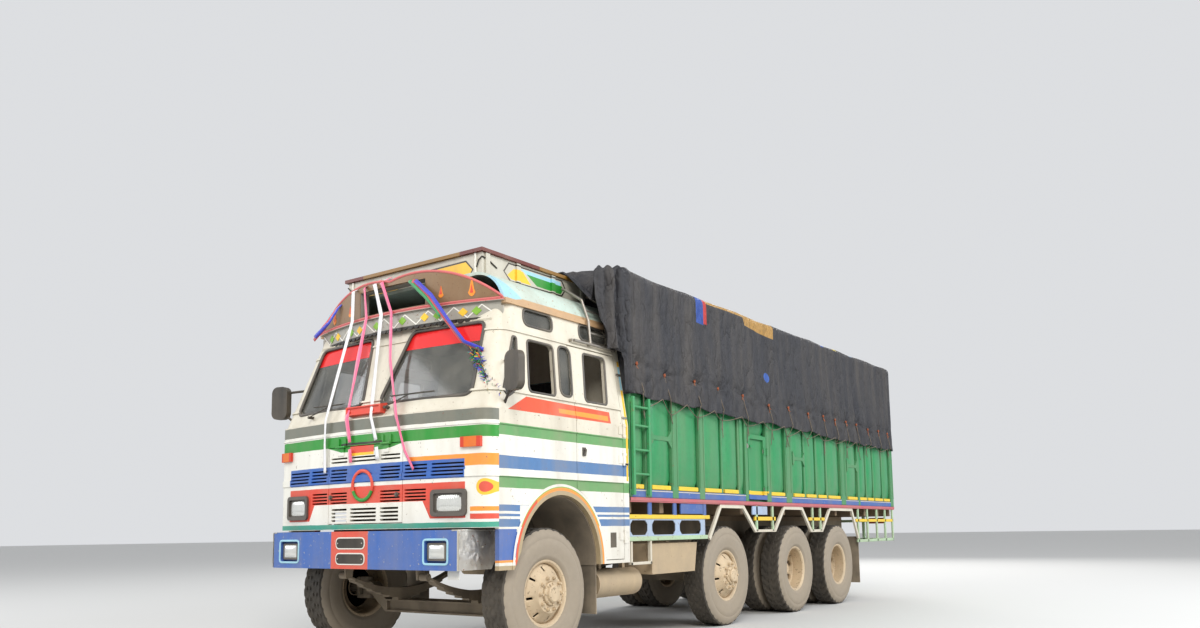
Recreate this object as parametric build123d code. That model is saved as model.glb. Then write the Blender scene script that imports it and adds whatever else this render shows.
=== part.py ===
from build123d import *
from math import sqrt
import os

# Decorated haulage truck: four axles, steel and timber body, forward-control cab, sheeted load space.
# Lengths in millimetres. While it is drawn, X is forward from the front axle, Y is left, Z is up from
# the ground. put() moves every piece so that the origin is the middle of the whole length.

# Overall
nose_x = 910            # front of the bumper
tail_x = -8510          # back of the sheet
cab_half = 1256         # half width of the cab
body_half = 1253        # half width of the load body
origin_x = (nose_x + tail_x) / 2

# Wheels
tyre_radius = 522
tyre_width = 278
tyre_facets = 36
rim_seat = 254          # radius of the bead seat
rim_wall = 16
rim_facets = 24
single_y = 1071         # middle of a tyre that stands alone
dual_pitch = 325        # middle of one twin tyre to the other
dual_outer_y = 1078
steer_x = 0
pusher_x = -3057
drive_x = -4846
rear_x = -6240
bearing_gap = 0.05      # radial running clearance of shafts and pins
part_gap = 0.3          # play between pieces that are seated together
door_gap = 6            # play all round a door or flap

# Front axle and steering
kingpin_y = 930
kingpin_radius = 22
spindle_radius = 40
beam_drop = 150         # how far the middle of the beam lies under the hubs
steer_arm = 190
lock_sill_x = 474        # the steered tyre clears the foot of the arch: how far the cut reaches along,
lock_sill_z = 869        # and where it runs out on the curve of the arch
lock_curve_x = 392
lock_bumper_x = 549      # and the lower back corner of the bumper
lock_bumper_z = 850

# Ladder frame
rail_y = 430            # outer face of a rail
rail_top = 1110
rail_depth = 250
rail_flange = 75
rail_web = 10
rail_front = 800
rail_back = -8400

# Cab
cab_back = -1106
cab_wall = 40
cab_floor_z = 1340
floor_thickness = 30
sill_z = 730            # bottom edge of the cab sides
front_bottom = 1048     # bottom edge of the front panel
waist_z = 1950          # where the upper cab starts to lean in
eaves_z = 2860          # top of the cab walls
nose_low = 865
nose_waist = 843
nose_eaves = 499
eaves_half = 1115
bow = 0.075 / 1000      # how far the front falls back per square millimetre of half width
corner_radius = 130
corner_x = 640          # seam of front panel and cab side
corner_eaves_x = 395

# Load body
body_front = -1134
body_back = -8484
deck_z = 1311           # top of the edge rail and of the deck
deck_thickness = 34
wall_top = 2450
wall_sheet = 30
wall_rib = 38           # how far a post stands out of the pressed sheet
sheet_cloth = 20        # thickness that the load sheet takes up
sheet_hem_front = 2245
sheet_hem_back = 2170
sheet_top_front = 3440
sheet_top_back = 3500

os.makedirs("parts", exist_ok=True)


# Helpers
def put(name, *shapes):
    solids = [solid for shape in shapes for solid in shape.solids()]
    moved = [Pos(-origin_x, 0, 0) * solid for solid in solids]
    export_step(moved[0] if len(moved) == 1 else Compound(moved), "parts/" + name + ".step")


def block(x0, x1, y0, y1, z0, z1):
    return Pos((x0 + x1) / 2, (y0 + y1) / 2, (z0 + z1) / 2) * Box(abs(x1 - x0), abs(y1 - y0), abs(z1 - z0))


# A plate cut to an outline of (x, z) points, standing between two values of y
def side_plate(points, y0, y1):
    outline = Polyline([(x, y0, z) for x, z in points], close=True)
    return extrude(make_face(outline), amount=y1 - y0, dir=(0, 1, 0))


# A plate cut to an outline of (y, z) points, standing between two values of x
def cross_plate(points, x0, x1):
    outline = Polyline([(x0, y, z) for y, z in points], close=True)
    return extrude(make_face(outline), amount=x1 - x0, dir=(1, 0, 0))


# A flat piece cut to an outline of (x, y) points, lying between two values of z
def flat_plate(points, z0, z1):
    outline = Polyline([(x, y, z0) for x, y in points], close=True)
    return extrude(make_face(outline), amount=z1 - z0, dir=(0, 0, 1))


def mirrored(shape):
    return mirror(shape, about=Plane.XZ)


def pair(shape):
    return Compound(list(shape.solids()) + list(mirrored(shape).solids()))


def rod(radius, start, end):
    line = Line(start, end)
    return extrude(Plane(origin=start, z_dir=line % 0) * Circle(radius), amount=line.length)


# A turned piece about the Y axis with flat facets, from a table of (y, radius) sections
def faceted(sections, facets):
    rings = []
    for y, radius in sections:
        ring = RegularPolygon(radius=radius, side_count=facets, major_radius=False, rotation=180 / facets)
        rings.append(Plane(origin=(0, y, 0), x_dir=(1, 0, 0), z_dir=(0, 1, 0)) * ring)
    return loft(rings, ruled=True)


# Outline of the cab seen from above, with its bowed front and rounded front corners
def cab_plan(nose, half, back, radius, z):
    side_x = nose - bow * half * half
    front = ThreePointArc((side_x, -half, z), (nose, 0, z), (side_x, half, z))
    sides = Polyline((side_x, half, z), (back, half, z), (back, -half, z), (side_x, -half, z))
    face = make_face(front + sides)
    corners = [v for v in face.vertices() if v.X > back + 1]
    return fillet(corners, radius)


# Outer form of the cab, drawn in by a wall thickness
def cab_form(inset):
    radius = corner_radius - inset
    back = cab_back + inset
    low = cab_plan(nose_low - inset, cab_half - inset, back, radius, sill_z - 1)
    waist = cab_plan(nose_waist - inset, cab_half - inset, back, radius, waist_z)
    eaves = cab_plan(nose_eaves - inset, eaves_half - inset, back, radius, eaves_z)
    return extrude(low, amount=waist_z - sill_z + 1, dir=(0, 0, 1)) + loft([waist, eaves], ruled=True)


# Cab walls, split at the real seams into front panel, sides, doors and rear wall
mouldings = [            # bottom z, top z, how far it stands out
    (1430, 1484, 9),
    (1824, 1836, 7),
    (2086, 2102, 14),
    (2592, 2608, 10),
]
arch_x = -120            # wheel arch: middle, half width, height above the arch foot
arch_foot = 750
arch_half = 525
arch_rise = 555
arch_border = 88         # width of the raised border round the arch
arch_proud = 6
door_front = -333
door_back = -1014
door_foot = 764
door_head = 2584
pillar_front = -1020

cab_outer = cab_form(0)
cab_inner = cab_form(cab_wall)
shell = cab_outer - cab_inner
for low, high, proud in mouldings:
    ring = (cab_form(-proud) & block(-3000, 3000, -3000, 3000, low, high)) - cab_inner
    shell += ring - block(-3000, pillar_front, -3000, 3000, low, high)

front_zone = side_plate(
    [
        (corner_x, 0),
        (corner_x, waist_z),
        (corner_eaves_x, eaves_z),
        (corner_eaves_x, eaves_z + 50),
        (nose_x + 500, eaves_z + 50),
        (nose_x + 500, 0),
    ],
    -2 * cab_half,
    2 * cab_half,
)


def arch(grow, y0, y1):
    oval = Ellipse(arch_half + grow, arch_rise + grow)
    whole = extrude(
        Plane(origin=(arch_x, y0, arch_foot), x_dir=(1, 0, 0), z_dir=(0, 1, 0)) * oval, amount=y1 - y0
    )
    foot = block(arch_x - arch_half - grow, arch_x + arch_half + grow, y0, y1, 0, arch_foot)
    return (whole & block(-3000, 3000, y0, y1, arch_foot, 3000)) + foot


# A hole or pane with rounded corners, straight along Y or along X
def rounded_side(points, radius, y0, y1, play=0):
    face = fillet(make_face(Polyline([(x, y0, z) for x, z in points], close=True)).vertices(), radius)
    return extrude(offset(face, amount=-play) if play else face, amount=y1 - y0, dir=(0, 1, 0))


def rounded_cross(points, radius, x0, x1, play=0):
    face = fillet(make_face(Polyline([(x0, y, z) for y, z in points], close=True)).vertices(), radius)
    return extrude(offset(face, amount=-play) if play else face, amount=x1 - x0, dir=(1, 0, 0))


side_windows = [         # corner radius, then the corners as (x, z)
    (45, [(258, 2114), (204, 2548), (-127, 2548), (-83, 2114)]),
    (70, [(-150, 2130), (-198, 2562), (-362, 2562), (-314, 2130)]),
    (60, [(223, 2672), (206, 2812), (-168, 2812), (-151, 2672)]),
    (24, [(566, 2098), (380, 2548), (336, 2548), (388, 2124), (520, 2050)]),
]
door_windows = [(45, [(-488, 2114), (-545, 2548), (-872, 2548), (-815, 2114)])]
rear_side_window = (60, [(-526, 2672), (-543, 2812), (-962, 2812), (-945, 2672)])
glazed = [1, 2, 3]       # rows of side_windows that hold a pane

side_band = block(pillar_front, nose_x, 0, 2 * cab_half, 0, eaves_z)
side_wall = (shell - front_zone) & side_band
arch_ring = arch(arch_border, cab_half - cab_wall, cab_half + arch_proud)
side_wall += arch_ring & block(-3000, corner_x, 0, 3000, sill_z, 3000)
side_wall -= arch(0, 0, 2 * cab_half)
side_wall -= side_plate(
    [(lock_curve_x, sill_z - 1), (lock_sill_x, sill_z - 1), (lock_curve_x, lock_sill_z)], 0, 2 * cab_half
)
for radius, corners in side_windows + [rear_side_window]:
    side_wall -= rounded_side(corners, radius, 0, 2 * cab_half)


def door_outline(gap):
    panel = block(door_back - gap, door_front + gap, 0, 2 * cab_half, door_foot - gap, door_head + gap)
    return panel - arch(arch_border - gap + door_gap, 0, 2 * cab_half)


door = side_wall & door_outline(0)
for radius, corners in door_windows:
    door -= rounded_side(corners, radius, 0, 2 * cab_half)
side_wall -= door_outline(door_gap)


# A hinge about the Z axis. The moving leaf points to +X, the fixed one to -X, both on the face
# at y = -hinge_proud.
hinge_proud = 10.5
barrel_radius = 10
pin_radius = 6
leaf_length = 70
leaf_thick = 5
leaf_sunk = 6            # how deep a leaf is let into what it is fixed to
lug_length = 24
lug_gap = 1


def hinge(length):
    face = -hinge_proud
    barrel = Cylinder(barrel_radius, length)
    leaf = block(0, leaf_length, face - leaf_sunk, face + leaf_thick, -length / 2, length / 2)
    near = block(-1, 3, face - leaf_sunk - 1, face + 0.2, -length, length)
    moving = barrel + (leaf - near) - Cylinder(pin_radius + bearing_gap, length + 2)
    fixed = Cylinder(pin_radius, length + 2 * lug_gap + lug_length)
    for end in (-1, 1):
        middle = end * (length / 2 + lug_gap + lug_length / 2)
        fixed += Pos(0, 0, middle) * Cylinder(barrel_radius, lug_length)
        wing = Pos(-leaf_length / 2, face + (leaf_thick - leaf_sunk) / 2, middle)
        fixed += (wing * Box(leaf_length, leaf_thick + leaf_sunk, lug_length)) - near
    return fixed, moving


door_hinge_z = [960, 1640, 1900]
door_hinge_length = 70
door_axis_x = (door_back + pillar_front) / 2
door_axis_y = cab_half + hinge_proud
rear_pillar_y = 1160
rear_fittings = []
for z in door_hinge_z:
    fixed, moving = hinge(door_hinge_length)
    place = Pos(door_axis_x, door_axis_y, z)
    door += place * moving
    rear_fittings.append(place * fixed)

rear_wall = (shell & block(cab_back - 1, pillar_front, -3000, 3000, 0, 3000))
rear_hole = rounded_cross(
    [(-560, 2080), (560, 2080), (560, 2440), (-560, 2440)], 60, cab_back - 10, cab_back + cab_wall + 10
)
rear_wall -= rear_hole
rear_wall -= block(
    cab_back - 1, pillar_front + 1, -rear_pillar_y, rear_pillar_y, 0, cab_floor_z - floor_thickness
)
for fitting in rear_fittings:
    rear_wall += fitting
    rear_wall += mirrored(fitting)

put("door_left", door)
put("door_right", mirrored(door))
put("cab_sides", pair(side_wall))
put("cab_rear_wall", rear_wall)

# Front panel with windscreen openings, lamp holes and the louvred flap
front = (shell & front_zone) & block(0, 3000, -3000, 3000, front_bottom, eaves_z)
screen_corners = [(243, 2672), (985, 2672), (1048, 2060), (96, 2060)]
screen_radius = 70
screen = rounded_cross(screen_corners, screen_radius, 0, nose_x)
front -= screen
front -= mirrored(screen)

flap_half = 440
flap_bottom = 1098
flap_top = 1722
louvre_rows = [          # middle z, slot height, then the columns as (y from, y to)
    (1122, 16, [(-400, -200), (-155, 155), (200, 400)]),
    (1152, 16, [(-400, -200), (-155, 155), (200, 400)]),
    (1182, 16, [(-400, -200), (-155, 155), (200, 400)]),
    (1212, 16, [(-400, -200), (-155, 155), (200, 400)]),
    (1268, 13, [(-680, -465), (-415, -200), (200, 415), (465, 680)]),
    (1294, 13, [(-680, -465), (-415, -200), (200, 415), (465, 680)]),
    (1320, 13, [(-680, -465), (-415, -200), (200, 415), (465, 680)]),
    (1346, 13, [(-680, -465), (-415, -200), (200, 415), (465, 680)]),
    (1452, 13, [(-1035, -735), (-690, -465), (-415, -200), (200, 415), (465, 690), (735, 1035)]),
    (1480, 13, [(-1035, -735), (-690, -465), (-415, -200), (200, 415), (465, 690), (735, 1035)]),
    (1508, 13, [(-1035, -735), (-690, -465), (-415, -200), (200, 415), (465, 690), (735, 1035)]),
    (1536, 13, [(-1035, -735), (-690, -465), (-415, -200), (200, 415), (465, 690), (735, 1035)]),
    (1602, 14, [(-415, -200), (-155, 155), (200, 415)]),
    (1632, 14, [(-415, -200), (-155, 155), (200, 415)]),
]
slots = []
for z, height, columns in louvre_rows:
    for y0, y1 in columns:
        slots.append(block(300, nose_x, y0, y1, z - height / 2, z + height / 2))
slots = Compound(slots)

flap_area = block(0, nose_x, -flap_half, flap_half, flap_bottom, flap_top)
flap_hole = block(
    0, nose_x, -flap_half - door_gap, flap_half + door_gap, flap_bottom - door_gap, flap_top + door_gap
)
flap = (front & flap_area) - slots
front = (front - flap_hole) - slots

flap_axis_x = nose_low + hinge_proud
flap_axis_z = flap_top + door_gap / 2
flap_hinge_y = [-270, 270]
for y in flap_hinge_y:
    fixed, moving = hinge(60)
    place = Plane(origin=(flap_axis_x, y, flap_axis_z), x_dir=(0, 0, -1), z_dir=(0, -1, 0))
    sunk = nose_low - bow * y * y
    flap += place * moving + block(sunk - 4, nose_low + 2, y - 30, y + 30, flap_top - 60, flap_top - 8)
    front += place * fixed + block(
        sunk - 4, nose_low + 2, y - 55, y - 31, flap_top + door_gap + 2, flap_top + 62
    )
    front += block(sunk - 4, nose_low + 2, y + 31, y + 55, flap_top + door_gap + 2, flap_top + 62)

lamp_table = [           # name, y from, y to, z from, z to, corner radius, rim width
    ("headlamp", 738, 1066, 1136, 1340, 34, 30),
]
lamps = []
lamp_skin = cab_form(-20) - cab_form(22)
lens_skin = cab_form(-4) - cab_form(22)
for name, y0, y1, z0, z1, radius, rim in lamp_table:
    outer = [(y0, z0), (y1, z0), (y1, z1), (y0, z1)]
    inner = [(y0 + rim, z0 + rim), (y1 - rim, z0 + rim), (y1 - rim, z1 - rim), (y0 + rim, z1 - rim)]
    hole = rounded_cross(outer, radius, 500, nose_x)
    lens_hole = rounded_cross(inner, radius / 2, 500, nose_x)
    front -= hole
    front -= mirrored(hole)
    seated = rounded_cross(outer, radius, 500, nose_x, part_gap)
    lamps.append((lamp_skin & seated) - lens_hole + (lens_skin & lens_hole))

indicator = (cab_form(-24) - cab_outer) & block(500, nose_x, 1018, 1190, 1650, 1728)
lamps.append(indicator)
put("cab_front", front)
put("grille_flap", flap)

# Panes, let into the walls with play all round
pane_inset = 14
pane_thick = 6
pane_skin = cab_form(pane_inset) - cab_form(pane_inset + pane_thick)

screen_pane = pane_skin & rounded_cross(screen_corners, screen_radius, 0, nose_x, part_gap)
panes = [screen_pane]
for radius, corners in [side_windows[index] for index in glazed] + [rear_side_window]:
    panes.append(pane_skin & rounded_side(corners, radius, 0, 2 * cab_half, part_gap))
put("windows", *[pair(pane) for pane in panes])

# Roof: a hollow shoulder that curves in from the cornice, with the open luggage crown on top
roof_wall = 30
cornice_out = 26
cornice_depth = 40
shoulder_top_y = 800
shoulder_top_z = 3120
roof_front = 430
crown_front = 369
crown_back = -1060
crown_half = 826
crown_top = 3334
crown_wall = 28
crown_rim = 26


def roof_section(inset, x0, x1):
    half = eaves_half + 8 - inset
    top = shoulder_top_z - inset
    left = ThreePointArc(
        (x0, half, eaves_z), (x0, half - 92, eaves_z + 158), (x0, shoulder_top_y - inset, top)
    )
    ridge = Polyline((x0, shoulder_top_y - inset, top), (x0, -shoulder_top_y + inset, top))
    right = ThreePointArc(
        (x0, -shoulder_top_y + inset, top), (x0, 92 - half, eaves_z + 158), (x0, -half, eaves_z)
    )
    base = Polyline((x0, -half, eaves_z), (x0, half, eaves_z))
    return extrude(make_face(left + ridge + right + base), amount=x1 - x0, dir=(1, 0, 0))


cornice = block(
    cab_back, roof_front, -eaves_half - cornice_out, eaves_half + cornice_out, eaves_z - cornice_depth,
    eaves_z
)
cornice -= cab_form(0)
roof = roof_section(0, cab_back, roof_front) - roof_section(roof_wall, cab_back + roof_wall, roof_front + 1)
ceiling = block(cab_back, roof_front - 1, -eaves_half, eaves_half, eaves_z, eaves_z + 14)
put("cab_roof", roof + cornice + (ceiling & roof_section(0, cab_back, roof_front)))

crown_outer = block(crown_back, crown_front, -crown_half, crown_half, shoulder_top_z, crown_top)
crown_inner = block(
    crown_back + crown_wall, crown_front - crown_wall, crown_wall - crown_half, crown_half - crown_wall,
    shoulder_top_z - 1, crown_top + 1
)
rim_low = crown_top - 30
rim = block(
    crown_back, crown_front + crown_rim, -crown_half - crown_rim, crown_half + crown_rim, rim_low, crown_top
)
crown_posts = []
crown_post_x = [crown_front - 60, -80, -560, crown_back + 60]
for x in crown_post_x:
    crown_posts.append(block(x - 25, x + 25, crown_half - 1, crown_half + 16, shoulder_top_z + 6, rim_low))
crown = crown_outer + rim - crown_inner
for post in crown_posts:
    crown += pair(post)
tray_play = 10           # the loose board on the floor of the crown
tray_thick = 12
tray_half = crown_half - crown_wall - tray_play
tray_board = block(
    crown_back + crown_wall + tray_play,
    crown_front - crown_wall - tray_play,
    -tray_half,
    tray_half,
    shoulder_top_z + part_gap,
    shoulder_top_z + part_gap + tray_thick,
)
put("crown", crown, tray_board)

# Visor: an arched board bowed like the front of the cab, over a straight fascia
visor_base = 2852
visor_top = 3140
visor_half = 1119
visor_thick = 24
fascia_low = 2706
fascia_thick = 16
niche_half = 400
niche_depth = 120


def bowed_plate(front_x, thick, sagitta, outline_face_half, z0, z1):
    edge = front_x - sagitta
    outer = ThreePointArc((edge, -outline_face_half, z0), (front_x, 0, z0), (edge, outline_face_half, z0))
    inner = ThreePointArc(
        (edge - thick, outline_face_half, z0), (front_x - thick, 0, z0),
        (edge - thick, -outline_face_half, z0)
    )
    ends = [
        Line((edge, outline_face_half, z0), (edge - thick, outline_face_half, z0)),
        Line((edge - thick, -outline_face_half, z0), (edge, -outline_face_half, z0)),
    ]
    return extrude(make_face(outer + inner + ends[0] + ends[1]), amount=z1 - z0, dir=(0, 0, 1))


visor_sagitta = 190
visor_front = 612
board = bowed_plate(visor_front, visor_thick, visor_sagitta, visor_half, visor_base, visor_top + 40)
arch_edge = ThreePointArc((0, visor_half, visor_base), (0, 800, 3062), (0, 0, visor_top))
arch_other = ThreePointArc((0, 0, visor_top), (0, -800, 3062), (0, -visor_half, visor_base))
arch_base = Line((0, -visor_half, visor_base), (0, visor_half, visor_base))
visor_prism = extrude(make_face(arch_edge + arch_other + arch_base), amount=nose_x, dir=(1, 0, 0))
visor = board & visor_prism
hood_outer = visor_prism & (
    bowed_plate(visor_front, 600, visor_sagitta, visor_half, visor_base, visor_top + 40)
)
hood_cut = extrude(
    make_face(
        ThreePointArc((0, visor_half - 14, visor_base - 1), (0, 790, 3048), (0, 0, visor_top - 14))
        + ThreePointArc((0, 0, visor_top - 14), (0, -790, 3048), (0, 14 - visor_half, visor_base - 1))
        + Line((0, 14 - visor_half, visor_base - 1), (0, visor_half - 14, visor_base - 1))
    ),
    amount=nose_x,
    dir=(1, 0, 0),
)
hood = (hood_outer - hood_cut) & block(roof_front + part_gap, nose_x, -3000, 3000, visor_base, 4000)
niche = block(visor_front - niche_depth, nose_x, -niche_half, niche_half, visor_base + 30, visor_top - 40)
niche_box = block(
    visor_front - niche_depth, visor_front - 40, -niche_half - 12, niche_half + 12, visor_base + 18,
    visor_top - 28
)
visor = (visor + hood + (niche_box & hood_outer)) - niche
ledge = bowed_plate(visor_front + 26, 220, visor_sagitta, visor_half + 6, visor_base - 14, visor_base)
fascia = bowed_plate(
    visor_front + 4, fascia_thick, visor_sagitta, visor_half - 14, fascia_low, visor_base - 13
)
visor_play = 1
visor_all = (visor + ledge + fascia) - cab_form(-visor_play)
visor_all = visor_all - block(cab_back, roof_front + part_gap, -3000, 3000, eaves_z - 60, 4000)
put("visor", *sorted(visor_all.solids(), key=lambda s: -s.volume)[:1])

# Bumper: a deep pressed channel with straight returns and sunk fog lamps
bumper_half = 1100
bumper_low = 736
bumper_high = 1034
bumper_wall = 12
bumper_flange = 60
bumper_return = 489
bracket_y0 = 358
fog_y = (770, 966)
fog_z = (806, 940)
fog_rim = 16
bumper_plan = flat_plate(
    [
        (bumper_return, -bumper_half), (nose_x, -bumper_half), (nose_x, bumper_half),
        (bumper_return, bumper_half)
    ],
    bumper_low,
    bumper_high,
)
bumper_plan = fillet(bumper_plan.edges().filter_by(Axis.Z).sort_by(Axis.X)[-2:], 28)
hollow = block(bumper_return - 1, nose_x - bumper_wall, bumper_wall - bumper_half, bumper_half - bumper_wall,
               bumper_low + bumper_wall, bumper_high - bumper_wall)
back_opening = block(
    bumper_return - 1, nose_x - bumper_flange, bumper_flange - bumper_half, bumper_half - bumper_flange,
    bumper_low - 1, bumper_high + 1
)
bumper = bumper_plan - hollow - back_opening
bracket = block(
    rail_front, nose_x - bumper_wall, bracket_y0, rail_y, rail_top - rail_depth + 20, bumper_high - 20
)
bumper += pair(bracket)
fog_hole = rounded_cross(
    [(fog_y[0] - fog_rim, fog_z[0] - fog_rim), (fog_y[1] + fog_rim, fog_z[0] - fog_rim),
     (fog_y[1] + fog_rim, fog_z[1] + fog_rim), (fog_y[0] - fog_rim, fog_z[1] + fog_rim)],
    26, nose_x - 40, nose_x + 1)
fog_tray = rounded_cross(
    [(fog_y[0] - fog_rim - 10, fog_z[0] - fog_rim - 10), (fog_y[1] + fog_rim + 10, fog_z[0] - fog_rim - 10),
     (fog_y[1] + fog_rim + 10, fog_z[1] + fog_rim + 10), (fog_y[0] - fog_rim - 10, fog_z[1] + fog_rim + 10)],
    30, nose_x - 50, nose_x - bumper_wall + 1)
bumper += pair(fog_tray)
bumper -= pair(fog_hole)
bumper -= side_plate(
    [
        (bumper_return - 1, bumper_low - 1), (lock_bumper_x, bumper_low - 1),
        (bumper_return - 1, lock_bumper_z)
    ],
    -cab_half,
    cab_half,
)
put("bumper", bumper)
fog = rounded_cross([(fog_y[0], fog_z[0]), (fog_y[1], fog_z[0]), (fog_y[1], fog_z[1]), (fog_y[0], fog_z[1])],
                    18, nose_x - 40 + part_gap, nose_x - 12)
lamps.append(fog)

# Small fittings on the front
scoop = side_plate([(828, 1972), (882, 1978), (882, 2046), (806, 2060), (806, 1990)], -210, 210)
scoop -= block(870, nose_x, -190, 190, 1990, 2036)
scoop -= cab_form(-part_gap)
put("front_scoop", sorted(scoop.solids(), key=lambda s: -s.volume)[0])

mirror_x = 640
mirror_y = 1410
mirror_z = 2215
arm_radius = 11
mirror_head = rounded_cross([(-88, -150), (88, -150), (88, 150), (-88, 150)], 60, -30, 30)
mirror_head = Pos(mirror_x, mirror_y, mirror_z) * Rot(0, 0, -12) * mirror_head
arms = [
    ((500, 1190, 2330), (mirror_x - 4, mirror_y - 20, mirror_z + 90)),
    ((560, 1240, 1990), (mirror_x - 4, mirror_y - 20, mirror_z - 90)),
]
mirror_set = mirror_head
for start, end in arms:
    mirror_set += rod(arm_radius, start, end)
mirror_set -= cab_form(-part_gap)
put("mirrors", pair(sorted(mirror_set.solids(), key=lambda s: -s.volume)[0]))

# Wipers: a pivot, an arm and a blade lying on each screen
wiper_pivots = [235, -767]
wiper_reach = 260
wiper_sweep = 480
wiper_z = 2016
wipers = []
for y in wiper_pivots:
    x = nose_waist - bow * y * y - 10
    arm = rod(5, (x + 34, y, wiper_z), (x + 10, y + wiper_reach, wiper_z + 84))
    blade = rod(
        6, (x + 22, y + wiper_reach - 200, wiper_z + 84),
        (x - 28, y + wiper_reach + wiper_sweep / 2, wiper_z + 88)
    )
    wiper = rod(12, (x - 60, y, wiper_z), (x + 38, y, wiper_z)) + arm + blade
    wiper -= cab_form(-part_gap)
    wipers.append(sorted(wiper.solids(), key=lambda s: -s.volume)[0])
put("wipers", *wipers)

# Roof side rack: bent bars on both sides, from the rear side window up over the shoulder
rack_x = [-640, -1010]
rack_foot_x = -400
rack_bar = 13
rack_rung = 9
rack_low = 2640
rack_out = 34
rack_levels = [2745, 2955]
rack_bends = [           # y and z of the bends of an upright, from the eaves to the foot of the crown
    (eaves_half + cornice_out + rack_bar + 8, eaves_z),
    (1092, 3052),
    (906, 3172),
    (crown_half + 46, 3188),
]


def cab_side_y(z):
    return cab_half - (z - waist_z) * (cab_half - eaves_half) / (eaves_z - waist_z)


def bent_bar(radius, points):
    bar = rod(radius, points[0], points[1])
    for start, end in zip(points[1:-1], points[2:]):
        bar += rod(radius, start, end)
        bar += Pos(*start) * Sphere(radius * 1.03)
    return bar


rack_low_y = cab_side_y(rack_low) + rack_out
rack_wall_y = cab_side_y(rack_low - rack_bar) + part_gap
rack = rod(rack_bar, (rack_foot_x, rack_low_y, rack_low), (rack_x[-1] - 2, rack_low_y, rack_low))
for x in [rack_foot_x + 20] + rack_x:
    rack += rod(rack_bar - 1, (x, rack_wall_y, rack_low), (x, rack_low_y, rack_low))
for x in rack_x:
    rack += bent_bar(rack_bar - 0.5, [(x, rack_low_y, rack_low)] + [(x, y, z) for y, z in rack_bends])
for z in rack_levels:
    line = [(rack_low_y, rack_low)] + rack_bends
    for (y0, z0), (y1, z1) in zip(line[:-1], line[1:]):
        if z0 <= z < z1:
            y = y0 + (y1 - y0) * (z - z0) / (z1 - z0)
            rack += rod(rack_rung, (rack_x[0], y, z), (rack_x[-1], y, z))
put("roof_rack", pair(rack))

# Cab floor with engine cover and the bearers that sit on the frame
hump_half = 330
hump_top = 1700
hump_back = -380
hump_wall = 24
floor_form = cab_form(cab_wall + part_gap)
floor = floor_form & block(cab_back, nose_low, -3000, 3000, cab_floor_z - floor_thickness, cab_floor_z)
floor_half = cab_half - cab_wall - door_gap
door_strip = block(door_back - door_gap, door_front + door_gap, floor_half, cab_half, 0, cab_floor_z + 1)
floor -= door_strip + mirrored(door_strip)
hump = floor_form & block(
    hump_back, nose_waist - 90, -hump_half, hump_half, cab_floor_z - floor_thickness, hump_top
)
hump_hollow = block(
    hump_back + hump_wall, nose_low, hump_wall - hump_half, hump_half - hump_wall, 0, hump_top - hump_wall
)
floor = (floor + hump) - hump_hollow
bearer_x = [560, -760]
bearer_half = 1150
bearer_depth = 70
bearer_width = 80
for x in bearer_x:
    floor += block(
        x, x + bearer_width, -bearer_half, bearer_half, cab_floor_z - floor_thickness - bearer_depth,
        cab_floor_z - floor_thickness
    )
    floor += pair(
        block(x, x + bearer_width, rail_y - rail_flange, rail_y, rail_top, cab_floor_z - floor_thickness)
    )
floor -= block(
    hump_back + hump_wall, nose_low, hump_wall - hump_half, hump_half - hump_wall, 0, hump_top - hump_wall
)
put("cab_floor", floor)

# Seats, dashboard and steering wheel, driver on the right
seat_table = [           # x from, x to, y from, y to
    (-330, 130, -1000, -520),
    (-330, 130, 480, 1000),
    (-1000, -640, -1000, 1000),
]
seat_low = 1560
seat_cushion = 110
seat_back_height = 520
seat_back_thick = 90
seats = []
for x0, x1, y0, y1 in seat_table:
    cushion = block(x0, x1, y0, y1, seat_low, seat_low + seat_cushion)
    back = block(x0, x0 + seat_back_thick, y0, y1, seat_low + seat_cushion - 1, seat_low + seat_back_height)
    box = block(x0 + 40, x1 - 40, y0 + 40, y1 - 40, cab_floor_z, seat_low + 1)
    seat = cushion + back
    tops = seat.edges().filter_by(Axis.Y).group_by(Axis.Z)[-1]
    seats.append(fillet(tops, 30) + box)
put("seats", *seats)

dash_low = 1640
dash_top = 2010
dash_back = 470
dash_face = floor_form & side_plate(
    [
        (dash_back, dash_low), (dash_back, dash_top - 90), (dash_back + 60, dash_top), (nose_low, dash_top),
        (nose_low, dash_low)
    ],
    -1180,
    1180,
)
dash_gap_half = hump_half + part_gap
dash_face -= block(0, nose_low, -dash_gap_half, dash_gap_half, 0, hump_top + part_gap)
put("dashboard", sorted(dash_face.solids(), key=lambda s: -s.volume)[0])

wheel_y = -760
wheel_x = 300
wheel_z = 1960
wheel_ring = 225
wheel_grip = 14
wheel_tilt = 32
column_drop = 330
steering = Pos(wheel_x, wheel_y, wheel_z) * Rot(0, wheel_tilt, 0) * (
    Torus(wheel_ring, wheel_grip)
    + Cylinder(45, 40)
    + Box(2 * wheel_ring, 36, 12)
    + Box(36, 2 * wheel_ring, 12)
    + Pos(0, 0, -column_drop / 2) * Cylinder(24, column_drop)
)
steering -= dash_face
steering = sorted(steering.solids(), key=lambda s: -s.volume)[0]
put("steering_wheel", steering)

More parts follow.
